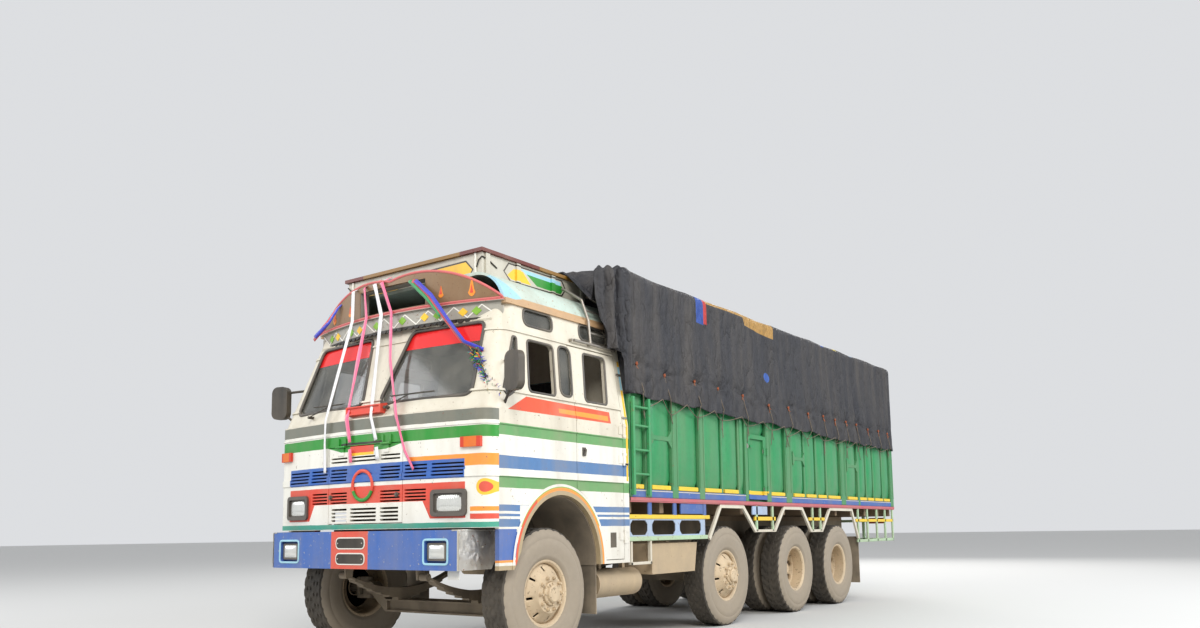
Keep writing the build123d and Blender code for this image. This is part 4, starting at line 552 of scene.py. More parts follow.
def sideWall(mesh, side):
    table = bodyWalls
    y0, y1 = table["sheetIn"] * side, table["sheetOut"] * side
    doorFront, doorBack, doorLow, doorHigh = table["door"]

    def wallBox(x0, x1, z0, z1, inner, outer, bevel, finish):
        addBox(mesh, (atX(x0), atX(x1)), (inner, outer), (z0, z1), bevel=bevel, finish=finish)

    for x0, x1, z0, z1 in ((table["front"], doorFront, table["low"], table["high"]),
                           (doorBack, table["back"], table["low"], table["high"]),
                           (doorFront, doorBack, table["low"], doorLow),
                           (doorFront, doorBack, doorHigh, table["high"])):
        wallBox(x0, x1, z0, z1, y0, y1, 0, 0)
    for x0, x1, big in table["posts"]:
        out = table["postOut"] if big else table["ribOut"]
        wallBox(x0, x1, table["low"], table["high"], y1 - side * 0.002, side * out, 0.006, 1)
        # a shallow pressed channel down the middle of a wide post
        if big and abs(x1 - x0) > table["widePost"]:
            for edge in (-1, 1):
                at = (x0 + x1) / 2 + edge * abs(x1 - x0) * table["channelAt"]
                wallBox(at - table["channelHalf"], at + table["channelHalf"],
                        table["low"] + table["channelLow"], table["high"],
                        side * (out - 0.001), side * (out + 0.005), 0.003, 1)
    wallBox(table["front"], table["back"], table["high"] - table["railDeep"], table["high"], y1,
            side * table["railOut"], 0.005, 1)
    for (_, x0, _), (x1, _, _) in zip(table["posts"][:-1], table["posts"][1:]):
        if doorBack <= x1 and x0 <= doorFront:               # the short panel over the door
            pillow(mesh, x0 - 0.010, x1 + 0.010, doorHigh + 0.012, table["panelHigh"], table["sheetOut"],
                   side, table["bulge"] * 0.8, 0, 10, 6)
            continue
        if abs(x1 - x0) > 0.08:
            pillow(mesh, x0 - 0.008, x1 + 0.008, table["panelLow"], table["panelHigh"], table["sheetOut"],
                   side, table["bulge"], 0)
        if abs(x1 - x0) > 0.15:
            wallBox(x0 - table["sillPast"], x1 + table["sillPast"], *table["sill"], y1,
                    side * table["sillOut"], 0.006, 2)
    for x0, x1 in ((table["front"], doorFront + 0.068), (doorBack - 0.114, table["back"])):
        wallBox(x0, x1, table["low"], table["footBand"], y1, side * table["footOut"], 0.004, 3)
        wallBox(x0, x1, *table["line"], side * 1.2470, side * table["lineOut"], 0.001, 4)
    for x0, x1, z in table["bars"]:
        wallBox(x0, x1, z - table["barHalf"], z + table["barHalf"], y1, side * 1.248, 0.004, 1)
        for corner, step in ((x0, -table["gusset"]), (x1, table["gusset"])):
            for up in (-1, 1):
                edge = z + up * 0.021
                points = [(atX(corner), edge), (atX(corner + step), edge),
                          (atX(corner), edge + up * table["gusset"])]
                addPlate(mesh, points, y1, side * 1.247, finish=1)


mesh = bmesh.new()
for side in (1, -1):
    sideWall(mesh, side)
headboard = {"x": (-1.134, -1.174), "ribX": (-1.173, -1.204), "half": 1.1847,
             "ribs": [-0.8, -0.4, 0.0, 0.4, 0.8], "ribHalf": 0.03}
headboardZ = (bodyWalls["low"], bodyWalls["high"])
addBox(mesh, [atX(x) for x in headboard["x"]], (-headboard["half"], headboard["half"]), headboardZ,
       bevel=0.003, finish=1)
for y in headboard["ribs"]:
    addBox(mesh, [atX(x) for x in headboard["ribX"]], (y - headboard["ribHalf"], y + headboard["ribHalf"]),
           headboardZ, bevel=0.004, finish=1)
walls = newPiece("sideWalls", mesh, ["panelGreen", "postGreen", "yellow", "blueBand", "cream"], "truck",
                 smooth=True, angle=30)
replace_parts(walls, "body_walls")

# what shows of the deck from outside: a pink edge rail
# in, out, low, high, bevel
deckEdge = [(1.2455, 1.2565, 1.279, 1.3112, 0.002), (1.235, 1.2525, 1.268, 1.2785, 0.001)]
mesh = bmesh.new()
for side in (1, -1):
    for inner, outer, low, high, bevel in deckEdge:
        addBox(mesh, (atX(bodyWalls["front"]), atX(bodyWalls["back"])), (side * inner, side * outer),
               (low, high), bevel=bevel)
newPiece("deckEdge", mesh, "pinkRail", "truck", outwards=False)

# under-deck side frames: rails, posts, holed plate, strips over the wheels and the rear lattice
sideFrames = {
    "in": 1.222, "out": 1.246,
    "bars": [  # x front, x back, z low, z high, finish: 0 pale green, 1 yellow, 2 blue, 3 pale plate, 4 cream
        (-1.120, -2.610, 1.115, 1.155, 1), (-1.120, -2.560, 0.914, 0.955, 0),
        (-1.440, -1.500, 1.150, 1.2767, 2), (-1.890, -1.950, 1.150, 1.2767, 2),
        (-2.480, -2.540, 1.150, 1.2767, 2), (-3.660, -4.200, 1.100, 1.144, 1),
        (-3.675, -4.190, 0.970, 1.000, 4), (-3.690, -3.730, 0.980, 1.2767, 0),
        (-4.110, -4.150, 0.980, 1.2767, 0), (-5.190, -5.690, 1.100, 1.140, 1),
        (-5.240, -5.610, 0.956, 0.990, 4), (-5.290, -5.330, 0.970, 1.2767, 0),
        (-5.540, -5.580, 0.970, 1.2767, 0), (-6.880, -8.440, 0.800, 0.840, 0),
        (-6.830, -8.440, 1.085, 1.125, 1), (-6.914, -6.954, 0.800, 1.2767, 0),
        (-7.290, -7.330, 0.800, 1.2767, 0), (-7.690, -7.730, 0.800, 1.2767, 0),
        (-8.060, -8.100, 0.800, 1.2767, 0), (-8.400, -8.440, 0.800, 1.2767, 0),
        (-3.600, -3.980, 1.165, 1.262, 3), (-2.030, -2.470, 1.165, 1.268, 2)],
    "strips": [[(-2.600, 0.914), (-2.860, 1.254), (-3.375, 1.254), (-3.680, 0.984)],
               [(-4.180, 0.984), (-4.456, 1.254), (-4.973, 1.254), (-5.250, 0.970)],
               [(-5.600, 0.970), (-5.890, 1.254), (-6.685, 1.254), (-6.914, 0.862)]],
    "stripHalf": 0.022,
    "holes": [(-1.144, -1.432), (-1.511, -1.931), (-2.014, -2.435)], "holeLow": 0.968, "holeHigh": 1.102,
    "holeCut": 0.036,
    "plateX": (-1.122, -2.520), "plateIn": 1.230, "plateOut": 1.238, "plateLow": 0.950, "plateHigh": 1.120,
    "latticeX": (-8.440, -8.402),                # the rear lattice: y from, y to, z low, z high
    "lattice": [(-1.246, 1.246, 0.800, 0.840), (-1.246, 1.246, 1.085, 1.125), (0.300, 0.340, 0.800, 1.1697),
                (-0.340, -0.300, 0.800, 1.1697),
                (0.760, 0.800, 0.800, 1.1697), (-0.800, -0.760, 0.800, 1.1697)],
}


def holedPlate(mesh, side, finish):
    table = sideFrames
    y = (side * table["plateIn"], side * table["plateOut"])
    low, high, c = table["plateLow"], table["plateHigh"], table["holeCut"]
    edges = [table["plateX"][0]] + [v for pair in table["holes"] for v in pair] + [table["plateX"][1]]
    for x0, x1 in zip(edges[0::2], edges[1::2]):
        addBox(mesh, (atX(x0), atX(x1)), y, (low, high), bevel=0.001, finish=finish)
    for x0, x1 in table["holes"]:
        addBox(mesh, (atX(x0), atX(x1)), y, (low, table["holeLow"]), bevel=0, finish=finish)
        addBox(mesh, (atX(x0), atX(x1)), y, (table["holeHigh"], high), bevel=0, finish=finish)
        for corner, step in ((x0, -c), (x1, c)):
            for edge, up in ((table["holeLow"], c), (table["holeHigh"], -c)):
                addPlate(mesh, [(atX(corner), edge), (atX(corner + step), edge), (atX(corner), edge + up)],
                         *y, finish=finish)


mesh = bmesh.new()
for side in (1, -1):
    for x0, x1, z0, z1, finish in sideFrames["bars"]:
        inside0 = sideFrames["in"] + (0.006 if finish in (2, 3) else 0)
        addBox(mesh, (atX(x0), atX(x1)), (side * inside0, side * sideFrames["out"]), (z0, z1), bevel=0.003,
               finish=finish)
    for points in sideFrames["strips"]:
        half = sideFrames["stripHalf"]
        lower, upper = [], []
        for k, (x, z) in enumerate(points):                # mitred strip
            before, after = points[max(k - 1, 0)], points[min(k + 1, 3)]
            a = Vector((x - before[0], z - before[1])) if k else Vector((after[0] - x, after[1] - z))
            b = Vector((after[0] - x, after[1] - z)) if k < 3 else a
            normal = (Vector((a.y, -a.x)).normalized() + Vector((b.y, -b.x)).normalized())
            normal = normal.normalized() / max(normal.normalized().dot(Vector((a.y, -a.x)).normalized()), 0.5)
            upper.append((atX(x + normal.x * half), z + normal.y * half))
            lower.append((atX(x - normal.x * half), z - normal.y * half))
        for k in range(3):
            addPlate(mesh, [upper[k], upper[k + 1], lower[k + 1], lower[k]], side * sideFrames["in"],
                     side * sideFrames["out"], finish=4)
    holedPlate(mesh, side, 3)
for y0, y1, z0, z1 in sideFrames["lattice"]:
    addBox(mesh, [atX(x) for x in sideFrames["latticeX"]], (y0, y1), (z0, z1), bevel=0.003, finish=0)
skirts = newPiece("skirtFrames", mesh, ["paleGreen", "yellow", "blueBand", "skyPlate", "cream"], "truck")
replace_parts(skirts, "side_frames")
print("load body made")


def addTube(mesh, points, radius, normal, sides=8, closed=False, finish=0, flat=1.0):
    points = [Vector(p) for p in points]
    rings = []
    count = len(points)
    for k, p in enumerate(points):
        before = points[k - 1] if k or closed else p
        after = points[(k + 1) % count] if k < count - 1 or closed else p
        run = (after - before).normalized()
        out = Vector(normal)
        out = (out - run * out.dot(run)).normalized()
        over = run.cross(out)
        rings.append([mesh.verts.new(p + out * math.cos(a) * radius * flat + over * math.sin(a) * radius)
                      for a in (2 * math.pi * i / sides for i in range(sides))])
    for k in range(count if closed else count - 1):
        one, two = rings[k], rings[(k + 1) % count]
        for i in range(sides):
            j = (i + 1) % sides
            mesh.faces.new((one[i], one[j], two[j], two[i])).material_index = finish
    if not closed:
        for ring in (rings[0], rings[-1]):
            mesh.faces.new(ring).material_index = finish


# load sheet: dark cloth over the stake rack, pulled in at a row of ties and hanging loose below them
loadSheet = {
    "front": -1.114, "back": -8.508, "half": 1.272, "hemFront": 2.240, "hemBack": 2.168, "topFront": 3.425,
    "topBack": 3.485,
    "corner": 0.080, "alongSteps": 330, "downSteps": 44, "cornerSteps": 4, "acrossSteps": 18, "thick": 0.004,
    "seed": 7,
    "ties": [(-1.276, 2.551), (-1.766, 2.501), (-2.356, 2.515), (-2.846, 2.498), (-3.421, 2.484),
             (-4.058, 2.440), (-4.624, 2.469), (-5.214, 2.450),
             (-5.726, 2.467), (-6.131, 2.455), (-6.530, 2.462), (-6.938, 2.458), (-7.400, 2.426),
             (-7.860, 2.440), (-8.270, 2.430)],
    "tieDeep": 0.038, "belly": 0.030, "starDeep": 0.022, "foldDeep": 0.026, "skirtDeep": 0.024,
    "stakes": [-1.200, -2.240, -3.280, -4.320, -5.360, -6.400, -7.440, -8.420],
    "inMost": -0.036, "outMost": 0.050, "easeZ": 2.50, "easeIn": 0.026, "easeSteps": 5.0, "endInset": 0.014,
    "tieWide": 0.070, "starFrom": 0.60, "starWide": 0.17, "bellyFade": 3.2, "stakeDeep": 0.020,
    "topSag": 0.034, "hemCurve": 0.020, "hemUp": 0.012,
    "rowBunch": 1.18, "sideKeys": {1: 2.0, -1: 31.0}, "endLow": 2.55,
}
random.seed(loadSheet["seed"])
tiePlaces = loadSheet["ties"]


# height of the top or the hem, which both slope evenly
def sheetLevel(x, line):
    t = (x - loadSheet["front"]) / (loadSheet["back"] - loadSheet["front"])
    return loadSheet[line + "Front"] + t * (loadSheet[line + "Back"] - loadSheet[line + "Front"])


# height of the row of ties, and how far x is from one tie to the next
def tieLine(x):
    for (a, za), (b, zb) in zip(tiePlaces[:-1], tiePlaces[1:]):
        if b <= x <= a:
            t = (a - x) / (a - b)
            return za + (zb - za) * t, t
    return (tiePlaces[0][1], 0.0) if x > tiePlaces[0][0] else (tiePlaces[-1][1], 0.0)


def crease(value, sharp):                                  # rounded hills with narrow valleys between them
    return abs(math.sin(math.pi * value)) ** sharp


# how far the side of the sheet stands in or out at a place
def sheetFold(along, z, key):
    top, hem = sheetLevel(along, "top"), sheetLevel(along, "hem")
    row, between = tieLine(along)
    wide = noise.noise(Vector((along * 0.9, z * 0.4, key)))
    slow = noise.noise(Vector((along * 2.3, z * 0.45, key + 4.0)))
    quick = noise.noise(Vector((along * 9.0 + 3.0 * wide, z * 1.4, key + 9.0)))
    above = max(0.0, (z - row) / (top - row))
    drift = along + 0.10 * noise.noise(Vector((along * 0.7, z * 1.1, key + 2.0))) + 0.06 * wide
    strength = 0.45 + 0.9 * abs(noise.noise(Vector((along * 0.8, 0.2, key + 6.0))))
    uneven = drift + 0.16 * noise.noise(Vector((along * 1.3, 0.7, key + 8.0)))
    small = crease(uneven * 4.1 + 0.3 + 0.4 * slow, 0.7) - 0.65
    folds = crease(uneven * 1.9, 0.55) - 0.72 + 0.7 * small * (0.3 + abs(wide) * 1.6)
    depth = 0.012 * wide + 0.012 * slow + 0.004 * quick
    if z >= row:
        depth += loadSheet["foldDeep"] * folds * strength * (1.0 - 0.85 * above)
        swing = loadSheet["belly"] * math.sin(math.pi * between) * math.exp(-above * loadSheet["bellyFade"])
        depth += swing * (0.35 + 0.65 * min(1.0, above * 9))
    else:
        low = (row - z) / (row - hem)
        pleats = crease(along * 4.4 + 0.7 * noise.noise(Vector((along * 1.7, 0.3, key + 3.3))), 0.6) - 0.6
        depth += loadSheet["belly"] * 0.5 * math.sin(math.pi * between) * (1 - low)
        depth += loadSheet["skirtDeep"] * (pleats + 0.35) * low * (0.6 + 0.6 * strength) + 0.014 * low
    for tieX, tieZ in tiePlaces:
        dx, dz = along - tieX, z - tieZ
        far = math.hypot(dx, dz)
        if far < loadSheet["starFrom"]:
            angle = math.atan2(dz, dx)
            star = 1 - 2 * abs(math.sin(angle * 3.5 + 2.5
                                        * noise.noise(Vector((tieX * 7.0, key, 1.7))))) ** 0.6
            ray = star * loadSheet["starDeep"] * math.exp(-far / loadSheet["starWide"])
            depth -= ray * min(far / 0.05, 1.0)
            depth -= loadSheet["tieDeep"] * math.exp(-(far / loadSheet["tieWide"]) ** 2)
    for a, b in zip(loadSheet["stakes"][:-1], loadSheet["stakes"][1:]):
        if b <= along <= a:
            sag = math.sin(math.pi * (along - a) / (b - a)) ** 2
            depth -= loadSheet["stakeDeep"] * sag * min(1, above * 1.6)
    # the wall's posts are close behind the skirt
    easing = min(1, (loadSheet["easeZ"] - z) / 0.04) if z <= loadSheet["easeZ"] else 0
    inMost = loadSheet["inMost"] + loadSheet["easeIn"] * easing
    return max(inMost, min(loadSheet["outMost"], depth))


def sheetSection(x):
    top, hem = sheetLevel(x, "top"), sheetLevel(x, "hem")
    half, corner = loadSheet["half"], loadSheet["corner"]
    between = tieLine(x)[1]
    ragged = 0.022 * noise.noise(Vector((x * 2.1, 0, 0.4))) + 0.014 * noise.noise(Vector((x * 7.5, 0, 2.4)))
    hem += ragged - loadSheet["hemCurve"] * math.sin(math.pi * between) + loadSheet["hemUp"]
    points = []
    for k in range(loadSheet["downSteps"]):
        v = (k / loadSheet["downSteps"]) ** loadSheet["rowBunch"]        # closer rows at the hem
        points.append((half, hem + (top - corner - hem) * v, 1.0, 0.0))
    for k in range(loadSheet["cornerSteps"]):
        a = k / loadSheet["cornerSteps"] * math.pi / 2
        points.append((half - corner + corner * math.cos(a), top - corner + corner * math.sin(a), math.cos(a),
                       math.sin(a)))
    for k in range(loadSheet["acrossSteps"] + 1):
        points.append(((half - corner) * (1 - 2 * k / loadSheet["acrossSteps"]), top, 0.0, 1.0))
    left = points[:loadSheet["downSteps"] + loadSheet["cornerSteps"]]
    return points + [(-y, z, -ny, nz) for y, z, ny, nz in reversed(left)]


def topSag(x, y):
    sag = 0.0
    for a, b in zip(loadSheet["stakes"][:-1], loadSheet["stakes"][1:]):
        if b <= x <= a:
            sag = math.sin(math.pi * (x - a) / (b - a))
    ripple = 0.012 * noise.noise(Vector((x * 1.7, y * 1.3, 8.0)))
    return -loadSheet["topSag"] * sag * (1 - abs(y / 1.3) ** 4) + ripple


mesh = bmesh.new()
rows = []
for i in range(loadSheet["alongSteps"] + 1):
    t = i / loadSheet["alongSteps"]
    x = loadSheet["front"] + t * (loadSheet["back"] - loadSheet["front"])
    endEase = min(1.0, min(t, 1 - t) * loadSheet["alongSteps"] / loadSheet["easeSteps"])
    row = []
    for y, z, outY, outZ in sheetSection(x):
        depth = sheetFold(x, z, loadSheet["sideKeys"][1 if y > 0 else -1]) * (0.5 + 0.5 * endEase)
        lift = topSag(x, y) * endEase if outZ > 0.9 else 0.0
        inwards = loadSheet["endInset"] * (1 - endEase) * (1 if y > 0 else -1) if outY else 0
        row.append(mesh.verts.new((atX(x), y + outY * depth - inwards, z + outZ * depth * 0.22 + lift)))
    rows.append(row)
for i in range(loadSheet["alongSteps"]):
    for j in range(len(rows[0]) - 1):
        mesh.faces.new((rows[i][j], rows[i][j + 1], rows[i + 1][j + 1], rows[i + 1][j]))
sideRows = loadSheet["downSteps"] + loadSheet["cornerSteps"]
across = loadSheet["acrossSteps"]
# the closed ends
for row, x, out in ((rows[0], loadSheet["front"], 1), (rows[-1], loadSheet["back"], -1)):
    last = row[sideRows:len(row) - sideRows]
    for k in range(sideRows - 1, -1, -1):
        left, right = row[k], row[len(row) - 1 - k]
        line = [left]
        for m in range(1, across):
            u = m / across
            y = left.co.y + (right.co.y - left.co.y) * u
            z = left.co.z + (right.co.z - left.co.z) * u
            fold = (0.010 * noise.noise(Vector((y * 4.0, z * 0.8, x)))
                    + 0.008 * noise.noise(Vector((y * 9.0, z * 1.0, x + 5)))) - 0.004
            if z < loadSheet["endLow"]:
                fold += 0.006 * math.sin(y * 22.0) * (loadSheet["endLow"] - z) / 0.35
            fold = max(-0.014, min(0.0, fold)) if out > 0 else max(-0.014, min(0.002, fold))
            line.append(mesh.verts.new((atX(x) + out * fold * min(1, 4 * u, 4 * (1 - u)), y, z)))
        line.append(right)
        for m in range(across):
            mesh.faces.new((line[m], line[m + 1], last[m + 1], last[m]))
        last = line

# the spare front of the sheet: gathered over the back of the crown and bunched down both front corners
sheetCollar = {
    "reach": [(2.245, 0.075), (2.560, 0.080), (2.610, 0.150), (2.640, 0.270), (2.800, 0.345), (3.050, 0.420),
              (3.250, 0.450), (3.400, 0.430)],
    "topReach": 0.50, "back": 0.050, "proud": 0.010, "upSteps": 44, "roundSteps": 6, "acrossSteps": 26,
    "forwardSteps": 26, "folds": 3.6, "foldDeep": 0.034,
    "rimHeight": 3.352, "rimHalf": 0.860, "roofHalf": 1.215,
}


def collarReach(z):
    table = sheetCollar["reach"]
    for (za, ra), (zb, rb) in zip(table[:-1], table[1:]):
        if za <= z <= zb:
            return ra + (rb - ra) * (z - za) / (zb - za)
    return table[-1][1]


# (side, y, z, outward y, outward z, reach) from the left foot over the top to the right foot
def collarSection():
    front = loadSheet["front"]
    top, foot = sheetLevel(front, "top"), sheetLevel(front, "hem") + 0.02
    half, corner = loadSheet["half"] + sheetCollar["proud"], loadSheet["corner"]
    left = []
    for k in range(sheetCollar["upSteps"] + 1):
        z = foot + (top - corner - foot) * k / sheetCollar["upSteps"]
        left.append((half, z, 1.0, 0.0, collarReach(z)))
    for k in range(1, sheetCollar["roundSteps"]):
        a = k / sheetCollar["roundSteps"] * math.pi / 2
        left.append((half - corner + corner * math.cos(a), top - corner + (corner + 0.012) * math.sin(a),
                     math.cos(a), math.sin(a), collarReach(3.4)))
    middle = []
    for k in range(sheetCollar["acrossSteps"] + 1):
        u = 1 - 2 * k / sheetCollar["acrossSteps"]
        middle.append(((half - corner) * u, top + 0.012, 0.0, 1.0,
                       sheetCollar["topReach"] * (0.62 + 0.38 * abs(u)) - 0.05))
    return left + middle + [(-y, z, -ny, nz, reach) for y, z, ny, nz, reach in reversed(left)]


section = collarSection()
columns = []
for k, (y, z, outY, outZ, reach) in enumerate(section):
    key = 1.0 if k < len(section) / 2 else 17.0
    column = []
    for i in range(sheetCollar["forwardSteps"] + 1):
        v = i / sheetCollar["forwardSteps"]
        ragged = 1 + 0.10 * noise.noise(Vector((k * 0.14, key, 0.5)))
        x = loadSheet["front"] - sheetCollar["back"] * (1 - v) + reach * ragged * v
        wave = math.sin(2 * math.pi * (sheetCollar["folds"] * v * (0.45 + reach * 1.4)
                                       + 0.45 * noise.noise(Vector((k * 0.05, v * 0.6, key)))))
        wave += 0.45 * noise.noise(Vector((k * 0.10, v * 5.0, key + 3.0)))
        pull = v * v
        billow = sheetCollar["foldDeep"] * wave * min(1, v * 3.0) * min(1.0, reach * 3.4)
        outwards = billow * (1.0 - 0.6 * outZ)
        # the part that lies over the crown sinks to its rim and into the tray
        if outZ > 0.9:
            rim, edge = sheetCollar["rimHeight"], sheetCollar["rimHalf"]
            floor = rim if abs(y) < edge + 0.02 else rim - 0.9 * (abs(y) - edge)
            height = z + (floor + 0.020 - z) * min(1, pull * 1.5) + max(0.0, outwards * 0.8) + 0.010
            column.append((atX(x), y * (1 - 0.05 * pull), max(height, floor + 0.012)))
        else:
            lean = min(1.0, max(0.0, (z - 2.62) / 0.30)) * pull
            inward = 0.075 * lean
            newY = abs(y) - inward + outY * outwards
            newY = max(newY, sheetCollar["roofHalf"] if z > 2.60 else 1.268)
            newZ = z + outZ * outwards - 0.06 * lean * outZ - 0.03 * pull * (1 if z > 2.64 else 0)
            column.append((atX(x), newY * (1 if y > 0 else -1), newZ))
    columns.append([mesh.verts.new(p) for p in column])
for one, two in zip(columns[:-1], columns[1:]):
    for i in range(sheetCollar["forwardSteps"]):
        mesh.faces.new((one[i], one[i + 1], two[i + 1], two[i]))
area = sum(face.calc_area() for face in mesh.faces)
print("sheet area", round(area, 2))
cover = newPiece("loadCloth", mesh, "cloth", "truck", smooth=True)
thick = cover.modifiers.new("thick", "SOLIDIFY")
thick.thickness = loadSheet["thick"]
thick.offset = -1
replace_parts(cover, "load_sheet")

# ties of the sheet: a knotted tuft on each gather, ropes from the hem to the wall and a slack line along it
sheetTies = {"rope": 0.0045, "turns": 5, "turnRadius": 0.016, "ends": 3, "hookLow": 2.10, "hookHigh": 2.175,
             "wallOut": 1.262, "hemOut": 1.318}


def ropeRun(mesh, start, end, sag, finish=0, steps=7, radius=sheetTies["rope"]):
    start, end = Vector(start), Vector(end)
    points = [start.lerp(end, i / steps) - Vector((0, 0, sag * 4 * (i / steps) * (1 - i / steps)))
              for i in range(steps + 1)]
    addTube(mesh, [(atX(p.x), p.y, p.z) for p in points], radius, (0, 1, 0.2), sides=6, finish=finish)


mesh = bmesh.new()
for side in (1, -1):
    hooks = []
    for x, z in tiePlaces:
        out = loadSheet["half"] + sheetFold(x, z, loadSheet["sideKeys"][side])
        for k in range(sheetTies["turns"]):                 # wound turns of the knot
            a, r = 2 * math.pi * k / sheetTies["turns"], sheetTies["turnRadius"]
            ropeRun(mesh, (x + r * math.cos(a), side * (out + 0.004), z + r * math.sin(a)),
                    (x + r * math.cos(a + 2.2), side * (out + 0.016), z + r * math.sin(a + 2.2)), -0.004,
                    finish=1, steps=3, radius=0.006)
        for k in range(sheetTies["ends"]):
            end = (x + random.uniform(-0.04, 0.04), side * (out + 0.022), z - random.uniform(0.04, 0.10))
            ropeRun(mesh, (x, side * (out + 0.008), z), end, 0.008, finish=1, steps=4, radius=0.0035)
        hem = sheetLevel(x, "hem") + loadSheet["hemUp"]
        hookX = x + random.uniform(-0.10, 0.10)
        hookZ = random.uniform(sheetTies["hookLow"], sheetTies["hookHigh"])
        ropeRun(mesh, (x, side * sheetTies["hemOut"], hem + 0.02),
                (hookX, side * sheetTies["wallOut"], hookZ), 0.012)
        ropeRun(mesh, (x, side * (out + 0.010), z - 0.01),
                (x + random.uniform(-0.02, 0.02), side * sheetTies["hemOut"], hem + 0.02), 0.0)
        hooks.append((hookX, hookZ))
        for drop in range(random.choice((1, 2, 2))):        # loose ends
            endX = hookX + random.uniform(-0.05, 0.05)
            end = (endX, side * (sheetTies["wallOut"] + 0.006), hookZ - random.uniform(0.06, 0.20))
            ropeRun(mesh, (hookX, side * sheetTies["wallOut"], hookZ), end, 0.01, steps=5)
    # the line laced from hook to hem and on to the next hook
    for (xa, za), (xb, zb) in zip(hooks[:-1], hooks[1:]):
        middle = (xa + xb) / 2 + random.uniform(-0.05, 0.05)
        rise = sheetLevel(middle, "hem") + 0.01
        ropeRun(mesh, (xa, side * sheetTies["wallOut"], za),
                (middle, side * (sheetTies["hemOut"] + 0.002), rise), 0.010)
        ropeRun(mesh, (middle, side * (sheetTies["hemOut"] + 0.002), rise),
                (xb, side * sheetTies["wallOut"], zb), 0.014)
newPiece("sheetTies", mesh, ["ropeTan", "ropeRed"], "truck", smooth=True)
print("load sheet made")

# cab paint: stripes and shapes are laid on by place, so they run on across every seam
# the same painted shape to the left and to the right of the middle
def onBoth(word, corners, *more):
    return [(word, shape("front", [(side * a, b) for a, b in corners]) + list(more)) for side in (1, -1)]


def crownSide(word, corners):
    return (word, shape("side", corners) + [("side", 0.815, 2.0)])


paint = {
    "white": (0.78, 0.77, 0.71), "cream": (0.66, 0.62, 0.52), "green": (0.012, 0.27, 0.030),
    "red": (0.68, 0.075, 0.045), "blue": (0.022, 0.125, 0.44),
    "orange": (0.88, 0.30, 0.035), "teal": (0.035, 0.33, 0.24), "slate": (0.17, 0.18, 0.15),
    "black": (0.012, 0.012, 0.012), "yellow": (0.85, 0.52, 0.03),
    "sideGreen": (0.12, 0.33, 0.12), "sideBlue": (0.070, 0.190, 0.40), "sideRed": (0.70, 0.085, 0.03),
    "pink": (0.62, 0.16, 0.16),
    "silver": (0.52, 0.50, 0.43), "gold": (0.24, 0.12, 0.012), "wine": (0.12, 0.010, 0.008),
    "brown": (0.235, 0.145, 0.075), "sky": (0.33, 0.60, 0.72),
    "archTan": (0.42, 0.33, 0.20), "shoulder": (0.50, 0.60, 0.54), "gutter": (0.52, 0.34, 0.19),
    "lime": (0.22, 0.45, 0.04), "grey": (0.36, 0.35, 0.31),
}
frontPaint = {
    "bands": (0.70, [(1.048, "white"), (1.086, "teal"), (1.252, "white"), (1.388, "red"), (1.424, "white"),
                     (1.567, "blue"), (1.725, "white"),
                     (1.812, "green"), (1.847, "white"), (1.936, "slate"), (3.2, "cream")]),
    "shapes": [("white", [("side", 1.045, 2.0), ("z", 1.25, 1.57)]),
               ("orange", [("y", 0.51, 2.0), ("z", 1.512, 1.600)]),
               ("blue", [("side", 0.0, 1.04), ("z", 1.424, 1.567)]),
               ("green", shape("front", [(-0.48, 1.728), (-0.27, 1.680), (0.27, 1.680), (0.48, 1.728)])),
               # painted shade: a black strip standing for the dark inside of the hatch slot
               ("black", [("y", -0.286, 0.225), ("z", 1.734, 1.752)]),
               ("red", [("y", -0.165, 0.121), ("z", 1.668, 1.728)]),
               ("yellow", [("y", -0.165, 0.121), ("z", 1.645, 1.668)]),
               *onBoth("red", [(0.645, 1.262), (0.722, 1.122), (1.05, 1.122), (1.05, 1.262)]),
               ("orange", [("y", 1.09, 2.0), ("z", 1.171, 1.205)]),
               ("red", [("y", 1.09, 2.0), ("z", 1.112, 1.152)]),
               ("yellow", [("ring", (atX(0.75), 1.205, 1.350), (0, 1, 1), 0.0, 0.062), ("x", atX(0.4), 9)]),
               ("red", [("ring", (atX(0.75), 1.205, 1.350), (0, 1, 1), 0.0, 0.040), ("x", atX(0.4), 9)])],
}
archMiddle = (atX(-0.12), 0, 0.75)
archStretch = (1 / 0.525, 0, 1 / 0.555)
